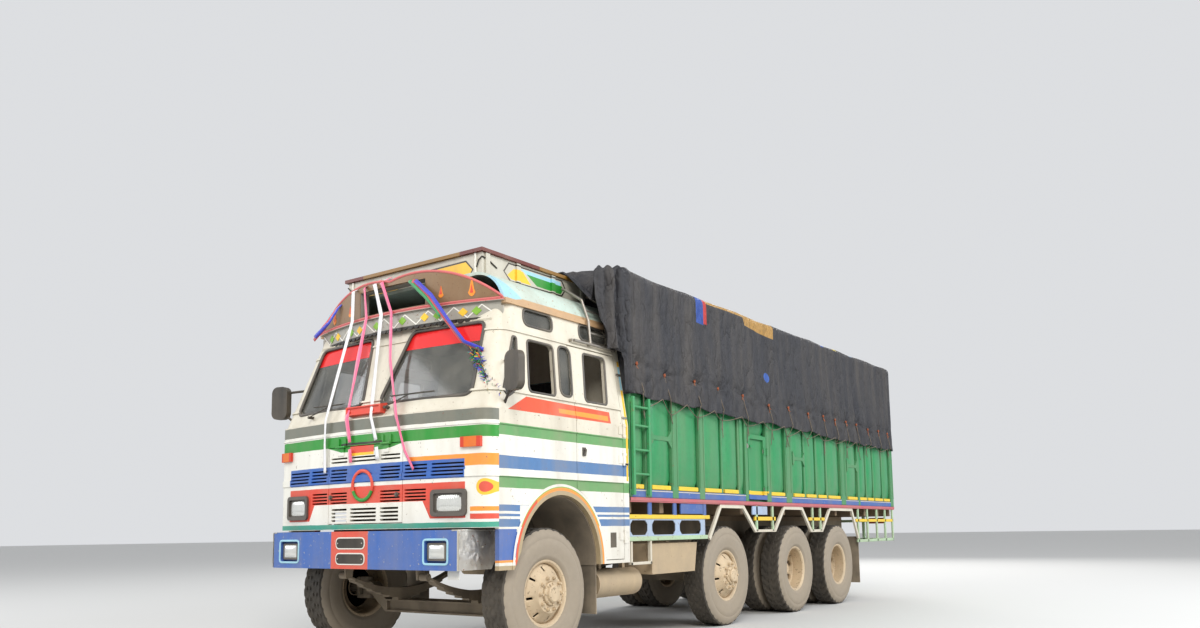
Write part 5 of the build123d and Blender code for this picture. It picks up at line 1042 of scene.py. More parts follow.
sidePaint = {
    "bands": (0.70, [(1.050, "white"), (1.102, "sideBlue"), (1.123, "white"), (1.147, "sideBlue"),
                     (1.167, "white"), (1.208, "sideBlue"), (1.343, "white"),
                     (1.427, "sideGreen"), (1.487, "white"), (1.588, "sideBlue"), (1.737, "white"),
                     (1.826, "sideGreen"), (3.2, "cream")]),
    "shapes": [("white", [("x", atX(-0.55), atX(0.40)), ("z", 1.04, 1.215)]),
               ("blue", shape("side", [(0.44, 0.80), (0.44, 1.035), (0.66, 1.035), (0.66, 0.80)])),
               ("white", shape("side", [(0.30, 0.70), (0.47, 1.06), (0.50, 1.06), (0.47, 0.82), (0.66, 0.82),
                                        (0.66, 0.70)])),
               ("orange", [("z", 0.785, 0.803), ("x", atX(0.46), 9)]),
               ("sideRed", shape("side", [(0.30, 2.068), (0.538, 1.945), (-0.835, 1.950), (-0.830, 2.051)])),
               ("orange", shape("side", [(-0.10, 2.012), (-0.10, 1.975), (-0.80, 1.968), (-0.80, 2.012)])),
               ("yellow", [("x", atX(-1.098), atX(-1.068)), ("z", 1.45, 2.55)]),
               ("sky", [("x", atX(-1.098), atX(-1.068)), ("z", 2.28, 2.50)]),
               # painted shade: a black patch standing for the dark inside of the foot-hold recess behind the
               # wheel arch
               ("black", [("x", atX(-0.895), atX(-0.805)), ("z", 0.865, 0.995)]),
               ("white", [("ring", archMiddle, archStretch, 1.118, 1.160), ("z", 0.70, 2)]),
               ("lime", [("ring", archMiddle, archStretch, 1.104, 1.120), ("z", 1.05, 2)]),
               ("orange", [("ring", archMiddle, archStretch, 1.060, 1.106), ("z", 0.70, 2)]),
               ("sideRed", [("ring", archMiddle, archStretch, 1.060, 1.108), ("x", atX(0.20), 9)]),
               ("archTan", [("ring", archMiddle, archStretch, 0.90, 1.062), ("z", 0.70, 2)]),
               ("archTan", [("z", 0.60, 0.762), ("x", atX(-0.2), 9)])],
}
roofPaint = {
    "bands": (2.70, [(2.892, "gutter"), (3.3, "shoulder")]),
    "shapes": [("sky", shape("side", [(0.44, 3.115), (0.35, 3.030), (0.09, 2.915), (0.30, 2.866),
                                      (0.44, 2.866)]))],
}
crownPaint = {
    "bands": (3.10, [(3.302, "silver"), (3.40, "gold")]),
    "shapes": [("wine", [("z", 3.302, 3.40), ("side", 0.60, 2.0), ("x", atX(-0.35), 9)]),
               crownSide("black", [(0.105, 3.20), (0.040, 3.286), (-0.70, 3.290), (-0.76, 3.212),
                                   (-0.70, 3.137), (0.020, 3.124)]),
               crownSide("silver", [(0.088, 3.20), (0.032, 3.274), (-0.69, 3.278), (-0.742, 3.212),
                                    (-0.69, 3.149), (0.012, 3.136)]),
               crownSide("yellow", [(0.055, 3.175), (-0.03, 3.245), (-0.15, 3.245), (-0.26, 3.150),
                                    (0.0, 3.147)]),
               crownSide("sky", [(-0.12, 3.268), (-0.68, 3.268), (-0.68, 3.225), (-0.20, 3.232)]),
               crownSide("green", [(-0.20, 3.236), (-0.70, 3.232), (-0.72, 3.205), (-0.68, 3.155),
                                   (-0.34, 3.158)]),
               *onBoth("black", [(0.16, 3.132), (0.705, 3.132), (0.735, 3.168), (0.650, 3.258),
                                 (0.16, 3.252)], ("x", atX(0.34), 9)),
               *onBoth("yellow", [(0.175, 3.142), (0.698, 3.142), (0.718, 3.168), (0.645, 3.244),
                                  (0.175, 3.238)], ("x", atX(0.34), 9))],
}
visorPaint = {
    "bands": (2.68, [(2.840, "grey"), (2.853, "pink"), (3.3, "brown")]),
    "shapes": [("grey", [("side", 0, 0.402), ("z", 2.862, 3.12), ("x", atX(0.0), atX(0.585))])],
}
bumperPaint = {
    "bands": (0.6, [(1.1, "blue"), (1.2, "blue")]),
    "shapes": [("red", [("y", -0.324, 0.121), ("x", atX(0.80), 9)]), ("silver", [("side", 1.085, 2.0)])],
}


def paintFinish(name, table, rough=0.4, dust=0.10, streak=0.22, lowDust=0.12, **more):
    low, rows = table["bands"]
    return makeFinish(name, paint[rows[0][1]], rough=rough, dust=dust, streak=streak, lowDust=lowDust,
                      bands=(low, [(top, paint[word]) for top, word in rows]),
                      patches=[(paint[word], tests) for word, tests in table["shapes"]], **more)


finishes["frontPaint"] = paintFinish("frontPaint", frontPaint, wear=(0.20, 0.12, 0.08), wearAmount=0.08)
finishes["sidePaint"] = paintFinish("sidePaint", sidePaint, dust=0.14, streak=0.30, lowDust=0.30,
                                    wear=(0.22, 0.14, 0.09), wearAmount=0.10)
finishes["roofPaint"] = paintFinish("roofPaint", roofPaint, dust=0.14, streak=0.30, wear=(0.36, 0.19, 0.08),
                                    wearAmount=0.20)
finishes["crownPaint"] = paintFinish("crownPaint", crownPaint, dust=0.12, streak=0.25)
finishes["visorPaint"] = paintFinish("visorPaint", visorPaint, dust=0.14, streak=0.20,
                                     wear=(0.16, 0.07, 0.035), wearAmount=0.25)
finishes["bumperPaint"] = paintFinish("bumperPaint", bumperPaint, dust=0.10, lowDust=0.22,
                                      wear=(0.40, 0.38, 0.34), wearAmount=0.16)
for word in ("white", "red", "green", "orange", "yellow", "black", "pink", "sky", "lime"):
    finishes["plain_" + word] = makeFinish("plain_" + word, paint[word], rough=0.42, dust=0.10, streak=0.12,
                                           lowDust=0.15)
finishes["lensGlass"] = makeFinish("lensGlass", (0.70, 0.71, 0.68), rough=0.10, metal=0.45, dust=0.10,
                                   streak=0.0, lowDust=0.10, coat=0.8, bump=0.03)
finishes["bezel"] = makeFinish("bezel", (0.075, 0.072, 0.068), rough=0.45, dust=0.15, lowDust=0.2)
finishes["foil"] = makeFinish("foil", (0.62, 0.61, 0.58), rough=0.30, metal=0.8, dust=0.15, lowDust=0.3,
                              wear=(0.30, 0.10, 0.06), wearAmount=0.2, bump=0.6, bumpScale=30)
ribbonTones = {                                   # colour, roughness, dust
    "whiteCloth": ((0.78, 0.78, 0.80), 0.5, 0.08), "pinkCloth": ((0.85, 0.16, 0.30), 0.5, 0.05),
    "blueCloth": ((0.04, 0.05, 0.50), 0.45, 0.05),
    "redCloth": ((0.62, 0.04, 0.03), 0.45, 0.05), "greenCloth": ((0.02, 0.30, 0.10), 0.45, 0.05),
}
for name, (colour, rough, dust) in ribbonTones.items():
    finishes[name] = makeFinish(name, colour, rough=rough, dust=dust, streak=0.0, lowDust=0.0, sheen=0.4)
# above this height the front and the sides of the cab lean in
cabBend = 1.95


def noseX(z):
    return 0.865 - (z - 0.729) * 0.018 if z < cabBend else 0.843 - (z - cabBend) * 0.344 / 0.91


def frontX(y, z):
    return noseX(z) - 0.075 * y * y


def sideY(z):
    return 1.256 if z < cabBend else 1.256 - (z - cabBend) * 0.141 / 0.91


def boardX(y):
    return 0.612 - 0.19 * (y / 1.119) ** 2


def boardFace(y, z):
    return boardX(y)


def fasciaX(y, z):
    return boardX(y) + 0.004


def bumperFace(y, z):
    return bumperTrim["face"]


def roundedLoop(corners, radius, steps=6):                 # a closed outline with rounded corners
    points = []
    count = len(corners)
    for k in range(count):
        before, here, after = (Vector(corners[(k + d) % count]) for d in (-1, 0, 1))
        a, b = (before - here).normalized(), (after - here).normalized()
        half = math.acos(max(-1, min(1, a.dot(b)))) / 2
        reach = min(radius / math.tan(half), (before - here).length * 0.48, (after - here).length * 0.48)
        start, end = here + a * reach, here + b * reach
        for i in range(steps + 1):
            t = i / steps
            points.append(start * (1 - t) ** 2 + here * 2 * t * (1 - t) + end * t ** 2)
    return points


# a thin shape that follows a bowed front
def addOnFront(mesh, outline, surface, lift=0.004, deep=0.006, finish=0):
    front = [mesh.verts.new((atX(surface(y, z) + lift), y, z)) for y, z in outline]
    back = [mesh.verts.new((atX(surface(y, z) + lift - deep), y, z)) for y, z in outline]
    mesh.faces.new(front).material_index = finish
    mesh.faces.new(list(reversed(back))).material_index = finish
    for i in range(len(outline)):
        j = (i + 1) % len(outline)
        mesh.faces.new((front[j], front[i], back[i], back[j])).material_index = finish


# a grid whose points come from a function of (u, v)
def addFace(mesh, place, acrossSteps, upSteps, finish=0):
    rows = [[mesh.verts.new(place(i / acrossSteps, j / upSteps)) for i in range(acrossSteps + 1)]
            for j in range(upSteps + 1)]
    for j in range(upSteps):
        for i in range(acrossSteps):
            mesh.faces.new((rows[j][i], rows[j][i + 1], rows[j + 1][i + 1],
                            rows[j + 1][i])).material_index = finish


# rubber seals round the panes and openings
glazing = {
    "screen": (0.070, [(0.243, 2.672), (0.985, 2.672), (1.048, 2.060), (0.096, 2.060)]),
    "side": [(0.045, [(0.258, 2.114), (0.204, 2.548), (-0.127, 2.548), (-0.083, 2.114)]),
             (0.070, [(-0.150, 2.130), (-0.198, 2.562), (-0.362, 2.562), (-0.314, 2.130)]),
             (0.060, [(0.223, 2.672), (0.206, 2.812), (-0.168, 2.812), (-0.151, 2.672)]),
             (0.024, [(0.566, 2.098), (0.380, 2.548), (0.336, 2.548), (0.388, 2.124), (0.520, 2.050)]),
             (0.060, [(-0.526, 2.672), (-0.543, 2.812), (-0.962, 2.812), (-0.945, 2.672)])],
    "door": (0.045, [(-0.488, 2.114), (-0.545, 2.548), (-0.872, 2.548), (-0.815, 2.114)]),
    "rubber": 0.015, "sideRubber": 0.011,
}


def sideSeal(mesh, side, radius, corners):
    loop = [(atX(x), side * (sideY(z) + 0.001), z) for x, z in roundedLoop(corners, radius)]
    addTube(mesh, loop, glazing["sideRubber"], (0, side, 0.15), closed=True, flat=0.7)


mesh = bmesh.new()
for side in (1, -1):
    radius, corners = glazing["screen"]
    loop = [(atX(frontX(y, z)) + 0.002, y * side, z) for y, z in roundedLoop(corners, radius, 7)]
    addTube(mesh, loop, glazing["rubber"], (1, 0, 0.38), closed=True, flat=0.8)
    for radius, corners in glazing["side"]:
        sideSeal(mesh, side, radius, corners)
newPiece("screenSeals", mesh, "bezel", "truck", smooth=True)
for side, word in ((1, "left"), (-1, "right")):
    mesh = bmesh.new()
    sideSeal(mesh, side, *glazing["door"])
    addBox(mesh, (atX(-0.455), atX(-0.405)), (side * 1.255, side * 1.262), (1.640, 1.712), bevel=0.003)
    addRod(mesh, (atX(-0.430), side * 1.258, 1.690), (atX(-0.430), side * 1.280, 1.690), 0.009)
    addRod(mesh, (atX(-0.436), side * 1.277, 1.694), (atX(-0.418), side * 1.279, 1.640), 0.007)
    newPiece("doorTrim_" + word, mesh, "bezel", "door_" + word, smooth=True, angle=40)

# lamps: bezels, ribbed lenses and the coloured covers
lampFaces = {"head": (0.766, 1.038, 1.163, 1.313), "fog": (0.786, 0.950, 0.822, 0.924), "ribs": 15,
             "dome": 0.014}


def lensGrid(mesh, y0, y1, z0, z1, base):
    def place(u, v):
        y, z = y0 + (y1 - y0) * u, z0 + (z1 - z0) * v
        edge = (1 - abs(2 * u - 1) ** 3) * (1 - abs(2 * v - 1) ** 3)
        return (atX(base(y, z)) + lampFaces["dome"] * edge
                + 0.0022 * abs(math.sin(u * math.pi * lampFaces["ribs"])), y, z)
    addFace(mesh, place, 60, 10)


mesh = bmesh.new()
for side in (1, -1):
    y0, y1, z0, z1 = lampFaces["head"]
    lensGrid(mesh, side * y0, side * y1, z0, z1, lambda y, z: frontX(y, z) + 0.006)
    y0, y1, z0, z1 = lampFaces["fog"]
    lensGrid(mesh, side * y0, side * y1, z0, z1, lambda y, z: 0.896)
newPiece("lampLenses", mesh, "lensGlass", "truck", smooth=True)

# decoration of the crown, visor and fascia
def arcThrough(one, two, three, steps):                    # points of the arc from one over two to three
    (ax, ay), (bx, by), (cx, cy) = one, two, three
    d = 2 * (ax * (by - cy) + bx * (cy - ay) + cx * (ay - by))
    ux = ((ax * ax + ay * ay) * (by - cy) + (bx * bx + by * by) * (cy - ay)
          + (cx * cx + cy * cy) * (ay - by)) / d
    uy = ((ax * ax + ay * ay) * (cx - bx) + (bx * bx + by * by) * (ax - cx)
          + (cx * cx + cy * cy) * (bx - ax)) / d
    radius = math.hypot(ax - ux, ay - uy)
    start, end = math.atan2(ay - uy, ax - ux), math.atan2(cy - uy, cx - ux)
    return [(ux + radius * math.cos(start + (end - start) * i / steps),
             uy + radius * math.sin(start + (end - start) * i / steps)) for i in range(steps + 1)]


visorTrim = {
    "edge": [(1.112, 2.862), (0.800, 3.058), (0.0, 3.134)], "flames": [0.845, -0.845, 0.560, -0.560],
    "flameLow": 2.895, "flameHigh": 3.055, "flameHalf": 0.032,
    "diamonds": [(0.40, "plain_yellow"), (0.53, "plain_lime"), (0.77, "plain_yellow"), (0.89, "plain_lime"),
                 (0.16, "plain_lime")],
    "fasciaLow": 2.706, "fasciaHigh": 2.838, "diamondHalf": 0.036, "scallopPitch": 0.062,
    "scallopDeep": 0.030, "zigzags": 17,
}
arcHalf = arcThrough(*visorTrim["edge"], 20)
arc = arcHalf + [(-y, z) for y, z in reversed(arcHalf[:-1])]
mesh = bmesh.new()
addTube(mesh, [(atX(boardX(y)) - 0.004, y, z) for y, z in arc], 0.012, (1, 0, 0), finish=0)
addTube(mesh, [(atX(boardX(1.10 - 2.2 * i / 24) + 0.024), 1.10 - 2.2 * i / 24, 2.858) for i in range(25)],
        0.009, (1, 0, 0), finish=0)
for y in visorTrim["flames"]:
    low, high, half = visorTrim["flameLow"], visorTrim["flameHigh"], visorTrim["flameHalf"]
    if abs(y) < 0.7:                                      # a smaller leaf between the flame and the niche
        low, high, half = low + 0.02, high - 0.04, half * 0.8
    tall = high - low
    down = [(0.30 * half, high - 0.28 * tall), (0.62 * half, high - 0.62 * tall), (half, low + 0.20 * tall),
            (0.55 * half, low + 0.06 * tall)]
    leaf = [(0, high)] + [(-a, z) for a, z in down] + [(0, low)] + down[::-1]
    addOnFront(mesh, [(y + a, z) for a, z in leaf], boardFace, finish=1)
    addOnFront(mesh, [(y - half * 0.45, low + 0.03), (y + half * 0.45, low + 0.03), (y, low + 0.10)],
               boardFace, lift=0.006, deep=0.004, finish=2)
middle = (visorTrim["fasciaLow"] + visorTrim["fasciaHigh"]) / 2
tall = (visorTrim["fasciaHigh"] - visorTrim["fasciaLow"]) / 2
for place, finish in visorTrim["diamonds"]:
    for side in (1, -1):
        y, half = side * place, visorTrim["diamondHalf"]
        addOnFront(mesh, [(y - half * 1.2, middle), (y, middle - half), (y + half * 1.2, middle),
                          (y, middle + half)], fasciaX, finish=3 if "yellow" in finish else 4)
count = visorTrim["zigzags"]
for k in range(count):                                    # white zigzag line along the fascia
    y0, y1 = -1.06 + 2.12 * k / count, -1.06 + 2.12 * (k + 1) / count
    swing = tall * 0.72
    a, b = (middle - swing, middle + swing) if k % 2 else (middle + swing, middle - swing)
    addOnFront(mesh, [(y0, a - 0.006), (y1, b - 0.006), (y1, b + 0.006), (y0, a + 0.006)], fasciaX,
               lift=0.003, deep=0.004, finish=5)
pitch = visorTrim["scallopPitch"]
edgeCount = int(2.16 / pitch)
for k in range(edgeCount):                                # black scallops under the fascia: painted shadow under the frill's scalloped lower edge
    y = -1.08 + pitch * (k + 0.5)
    deep = visorTrim["scallopDeep"] * (0.75 + 0.5 * random.random())
    rim = [(y + pitch * 0.5 * math.cos(a), visorTrim["fasciaLow"] + 0.012 - deep * math.sin(a))
           for a in (math.pi * i / 6 for i in range(7))]
    addOnFront(mesh, rim, fasciaX, lift=0.004, deep=0.010, finish=6)
for side in (1, -1):
    addTube(mesh, [(atX(0.374), side * 0.761, 3.128), (atX(0.374), side * 0.761, 3.300)], 0.010, (1, 0, 0),
            finish=5)
    addTube(mesh, [(atX(0.374), side * 0.832, 3.262), (atX(0.376), side * 0.795, 3.235),
                   (atX(0.374), side * 0.772, 3.180)], 0.005, (1, 0, 0), finish=6)
    addTube(mesh, [(atX(0.366), side * 0.832, 3.262), (atX(0.290), side * 0.832, 3.245),
                   (atX(0.190), side * 0.831, 3.200)], 0.006, (0, side, 0), finish=6)
for z in (2.684, 2.696):
    for side in (1, -1):
        addTube(mesh, [(atX(frontX(0.24 + 0.80 * i / 12, z) + 0.001), side * (0.24 + 0.80 * i / 12), z)
                       for i in range(13)], 0.0045, (1, 0, 0), finish=7)
newPiece("visorTrim", mesh, ["plain_pink", "plain_orange", "plain_red", "plain_yellow", "plain_lime",
                             "plain_white", "plain_black", "cream"], "truck",
         smooth=True, angle=40)

# bumper trim: blank plates, frames of the fog lamps, bare beaten metal over the ends
bumperTrim = {"plates": [(-0.262, 0.088, 0.892, 0.988), (-0.262, 0.088, 0.768, 0.864)], "face": 0.910,
              "fog": (0.742, 0.994, 0.782, 0.964), "ends": (0.492, 0.903, 0.738, 1.032)}
mesh = bmesh.new()
for y0, y1, z0, z1 in bumperTrim["plates"]:
    for inset, radius, lift, deep, finish in ((0, 0.045, 0.004, 0.005, 1), (0.010, 0.036, 0.006, 0.003, 0)):
        corners = [(y0 + inset, z0 + inset), (y1 - inset, z0 + inset), (y1 - inset, z1 - inset),
                   (y0 + inset, z1 - inset)]
        addOnFront(mesh, [tuple(p) for p in roundedLoop(corners, radius, 5)], bumperFace, lift=lift,
                   deep=deep, finish=finish)
    for y in (y0 + 0.03, y1 - 0.03):
        addRod(mesh, (atX(0.914), y, (z0 + z1) / 2), (atX(0.920), y, (z0 + z1) / 2), 0.006, finish=3)
for side in (1, -1):
    y0, y1, z0, z1 = bumperTrim["fog"]
    outer = roundedLoop([(y0, z0), (y1, z0), (y1, z1), (y0, z1)], 0.025, 3)
    addTube(mesh, [(atX(0.911), side * y, z) for y, z in outer], 0.009, (1, 0, 0), closed=True, finish=2,
            flat=0.7)
    x0, x1, z0, z1 = bumperTrim["ends"]

    def beaten(u, v, side=side):
        x, z = x0 + (x1 - x0) * u, z0 + (z1 - z0) * v
        rough = 0.0045 * noise.noise(Vector((x * 14, z * 14, side * 3.0)))
        rough += 0.002 * noise.noise(Vector((x * 40, z * 40, side)))
        star = math.hypot(x - 0.70, z - 0.885)
        spokes = 0.003 * math.cos(8 * math.atan2(z - 0.885,
                                                 x - 0.70)) * math.exp(-((star - 0.05) / 0.04) ** 2)
        z = max(z, min(0.850, 0.736 + (0.549 - x) * 1.9) + 0.003)
        return (atX(x), side * (1.1035 + rough + spokes), z)
    addFace(mesh, beaten, 40, 28, finish=3)
    addTube(mesh, [(atX(x), side * y, 1.030) for x, y in ((0.495, 1.103), (0.86, 1.103), (0.890, 1.098),
                                                          (0.905, 1.080), (0.912, 1.040))], 0.006, (0, 0, 1),
            finish=3)
addBox(mesh, (atX(0.835), atX(0.845)), (0.930, 1.045), (0.668, 0.735), bevel=0.002, finish=1)
newPiece("bumperTrim", mesh, ["plain_black", "plain_white", "plain_sky", "foil"], "truck",
         smooth=True, angle=40)

# front panel fittings: badge ring, knobs, small latches, rivets
def frontRod(mesh, y, z, start, end, radius, sides, finish):
    x = atX(frontX(y, z))
    addRod(mesh, (x + start, y, z), (x + end, y, z), radius, sides=sides, finish=finish)


mesh = bmesh.new()
ringRadius, ringMiddle = 0.118, 1.400
for start, end, finish in ((-0.12, 1.12, 0), (1.12, 1.88, 1)):
    arcPoints = [(math.pi * (start + (end - start) * i / 24)) for i in range(25)]
    addTube(mesh, [(atX(frontX(0, ringMiddle) + 0.020), ringRadius * math.cos(a),
                    ringMiddle + ringRadius * math.sin(a)) for a in arcPoints], 0.0145, (1, 0, 0), sides=10,
            finish=finish, flat=0.7)
for y in (-0.410, 0.386):                                  # the two knobs
    for start, end, radius, sides in ((-0.002, 0.022, 0.019, 18), (0.018, 0.030, 0.012, 14)):
        frontRod(mesh, y, 1.315, start, end, radius, sides, 2)
newPiece("flapFittings", mesh, ["plain_red", "plain_green", "bezel"], "grille_flap", smooth=True,
         angle=40)
mesh = bmesh.new()
for y, z in ((0.623, 1.695), (-0.742, 1.676)):
    x = atX(frontX(y, z))
    addBox(mesh, (x, x + 0.007), (y - 0.010, y + 0.010), (z - 0.028, z + 0.028), bevel=0.002, finish=0)
    addRod(mesh, (x + 0.004, y, z - 0.015), (x + 0.016, y, z + 0.012), 0.004, finish=0)
addBox(mesh, (atX(frontX(0.502, 1.17)), atX(frontX(0.502, 1.17)) + 0.005), (0.492, 0.512), (1.135, 1.205),
       bevel=0.002, finish=1)
for k in range(15):                                        # rivets along the foot of the panel
    frontRod(mesh, -1.05 + 2.1 * k / 14, 1.067, -0.001, 0.005, 0.008, 10, 2)
for y in (1.115, 1.170):
    frontRod(mesh, y, 1.187, -0.016, 0.0, 0.007, 10, 2)
newPiece("panelFittings", mesh, ["plain_black", "plain_orange", "plain_red"], "truck", smooth=True,
         angle=40)
print("cab decoration made")

# ribbons pulled tight from the crown over the visor down to the grille; tinsel round the mirror arm
ribbons = {
    "wide": 0.046,
    "runs": [  # finish, stations as (x, y, z)
        ("whiteCloth", [(0.400, -0.471, 3.240), (0.628, -0.452, 3.118), (0.642, -0.440, 2.850),
                        (0.885, -0.462, 1.960), (0.872, -0.483, 1.770), (0.862, -0.484, 1.520)]),
        ("pinkCloth", [(0.400, -0.365, 3.256), (0.630, -0.305, 3.126), (0.648, -0.252, 2.850),
                       (0.892, -0.185, 1.950), (0.884, -0.150, 1.755)]),
        ("whiteCloth", [(0.400, -0.278, 3.253), (0.632, -0.170, 3.136), (0.651, -0.061, 2.850),
                        (0.892, 0.110, 1.950), (0.884, 0.165, 1.755)]),
        ("pinkCloth", [(0.400, -0.226, 3.257), (0.634, -0.080, 3.136), (0.652, 0.064, 2.850),
                       (0.760, 0.180, 2.420), (0.884, 0.395, 1.930), (0.868, 0.480, 1.650),
                       (0.858, 0.570, 1.500)]),
        ("blueCloth", [(0.400, 0.128, 3.237), (0.630, 0.330, 3.085), (0.640, 0.521, 2.930),
                       (0.640, 0.720, 2.690), (0.640, 0.889, 2.500), (0.600, 1.060, 2.420)]),
        ("redCloth", [(0.400, 0.090, 3.237), (0.628, 0.295, 3.090), (0.636, 0.480, 2.930),
                      (0.634, 0.690, 2.690), (0.632, 0.860, 2.510), (0.596, 1.050, 2.420)]),
        ("greenCloth", [(0.400, 0.055, 3.237), (0.626, 0.255, 3.095), (0.632, 0.440, 2.935),
                        (0.628, 0.620, 2.745)]),
        ("blueCloth", [(0.400, -0.679, 3.222), (0.560, -0.735, 3.030), (0.585, -0.830, 2.900),
                       (0.560, -1.057, 2.800)]),
        ("redCloth", [(0.400, -0.700, 3.215), (0.556, -0.765, 3.020), (0.580, -0.870, 2.890),
                      (0.550, -1.080, 2.780)]),
    ],
    "tails": [("pinkCloth", [(0.884, -0.150, 1.700), (0.880, -0.140, 1.590)]),
              ("whiteCloth", [(0.884, 0.172, 1.700), (0.880, 0.182, 1.600)])],
}
ribbonOrder = list(ribbonTones)


def addRibbon(mesh, stations, wide, finish, seed):
    spots = []
    for (a, b) in zip(stations[:-1], stations[1:]):
        a, b = Vector(a), Vector(b)
        steps = max(2, int((b - a).length / 0.03))
        spots += [a.lerp(b, i / steps) for i in range(steps)]
    spots.append(Vector(stations[-1]))
    last = None
    for k, spot in enumerate(spots):
        after = spots[min(k + 1, len(spots) - 1)]
        before = spots[max(k - 1, 0)]
        run = (after - before).normalized()
        sway = 0.55 * noise.noise(Vector((seed * 3.1, k * 0.05, 0.0)))
        over = Vector((math.sin(sway), math.cos(sway), 0))
        over = (over - run * over.dot(run)).normalized()
        half = wide / 2 * (0.82 + 0.35 * noise.noise(Vector((seed, k * 0.11, 5.0))))
        out = run.cross(over).normalized() * 0.0025
        line = [mesh.verts.new(Vector((atX(p.x), p.y, p.z)))
                for p in (spot + over * half, spot + out, spot - over * half)]
        if last:
            for i in range(2):
                mesh.faces.new((last[i], last[i + 1], line[i + 1], line[i])).material_index = finish
        last = line


mesh = bmesh.new()
for seed, (finish, stations) in enumerate(ribbons["runs"]):
    addRibbon(mesh, stations, ribbons["wide"] * (1.0 if finish in ("whiteCloth", "pinkCloth") else 0.9),
              ribbonOrder.index(finish), seed + 1)
strips = newPiece("ribbonRuns", mesh, ribbonOrder, "truck", smooth=True, outwards=False)
strips.modifiers.new("thick", "SOLIDIFY").thickness = 0.0012
mesh = bmesh.new()
for seed, (finish, stations) in enumerate(ribbons["tails"]):
    addRibbon(mesh, stations, ribbons["wide"], ribbonOrder.index(finish), seed + 20)
tails = newPiece("ribbonTails", mesh, ribbonOrder, "grille_flap", smooth=True, outwards=False)
tails.modifiers.new("thick", "SOLIDIFY").thickness = 0.0012

tinsel = {
    "paths": [[(0.620, 1.020, 2.440), (0.640, 1.080, 2.280), (0.655, 1.150, 2.150), (0.668, 1.170, 2.000),
               (0.680, 1.185, 1.860)],
              [(0.600, 0.930, 2.440), (0.625, 1.020, 2.330), (0.645, 1.110, 2.230), (0.600, 1.235, 2.060)]],
    "leaves": 240, "long": 0.055,
}
mesh = bmesh.new()
for path in tinsel["paths"]:
    for k in range(tinsel["leaves"]):
        t = random.random() * (len(path) - 1)
        i = int(t)
        spot = Vector(path[i]).lerp(Vector(path[i + 1]), t - i)
        way = Vector((random.uniform(-0.4, 1), random.uniform(-1, 1), random.uniform(-1, 0.6))).normalized()
        over = way.cross(Vector((random.random(), random.random(),
                                 random.random()))).normalized() * random.uniform(0.003, 0.007)
        tip = spot + way * tinsel["long"] * random.uniform(0.4, 1.0)
        corners = [spot - over, spot + over, tip + over * 0.4, tip - over * 0.4]
        mesh.faces.new([mesh.verts.new((atX(p.x), p.y, p.z))
                        for p in corners]).material_index = random.choice((0, 0, 1, 1, 2, 3, 4))
    addTube(mesh, [(atX(p[0]), p[1], p[2]) for p in path], 0.007, (1, 0, 0), finish=4)
newPiece("tinsel", mesh, ["greenCloth", "blueCloth", "plain_yellow", "redCloth", "bezel"], "truck",
         outwards=False)
print("ribbons made")

# seats: crowned pads with sewn channels on boxed bases, blown up by a short cloth simulation
seating = {
    "places": [(-0.330, 0.130, -1.000, -0.520), (-0.330, 0.130, 0.480, 1.000),
               (-1.000, -0.640, -1.000, 1.000)],
    "low": 1.560, "cushion": 0.110, "backHigh": 2.080, "backThick": 0.090, "floor": 1.340, "inset": 0.012,
    "voxel": 0.013, "pressure": 4.0,
    "cap": 0.012, "frames": 16, "quality": 4, "edge": 0.018, "channelPitch": 0.125, "channelDeep": 0.006,
    "channelWide": 0.007, "base": 0.040,
}


def padMesh(x, y, z):                                      # a closed box with soft edges, in even quads
    mesh = bmesh.new()
    addBox(mesh, x, y, z, bevel=0)
    bmesh.ops.bevel(mesh, geom=list(mesh.edges), offset=seating["edge"], segments=2, affect="EDGES")
    data = bpy.data.meshes.new("pad")
    mesh.to_mesh(data)
    mesh.free()
    pad = bpy.data.objects.new("pad", data)
    bpy.context.scene.collection.objects.link(pad)
    remesh = pad.modifiers.new("remesh", "REMESH")
    remesh.mode = "VOXEL"
    remesh.voxel_size = seating["voxel"]
    soft = bpy.data.meshes.new_from_object(pad.evaluated_get(bpy.context.evaluated_depsgraph_get()))
    pad.modifiers.clear()
    pad.data = soft
    return pad


def swell(pad):
    rest = [vert.co.copy() for vert in pad.data.vertices]
    cloth = pad.modifiers.new("cloth", "CLOTH")
    cloth.settings.use_pressure = True
    cloth.settings.uniform_pressure_force = seating["pressure"]
    cloth.settings.effector_weights.gravity = 0
    cloth.settings.quality = seating["quality"]
    cloth.point_cache.frame_start = 1
    cloth.point_cache.frame_end = seating["frames"]
    for step in range(1, seating["frames"] + 1):
        bpy.context.scene.frame_set(step)
    blown = pad.evaluated_get(bpy.context.evaluated_depsgraph_get()).data
    moved = [vert.co.copy() for vert in blown.vertices]
    pad.modifiers.clear()
    bpy.context.scene.frame_set(1)
    for vert, old, new in zip(pad.data.vertices, rest, moved):
        step = new - old
        if step.length > seating["cap"]:
            step = step.normalized() * seating["cap"]
        vert.co = old + step


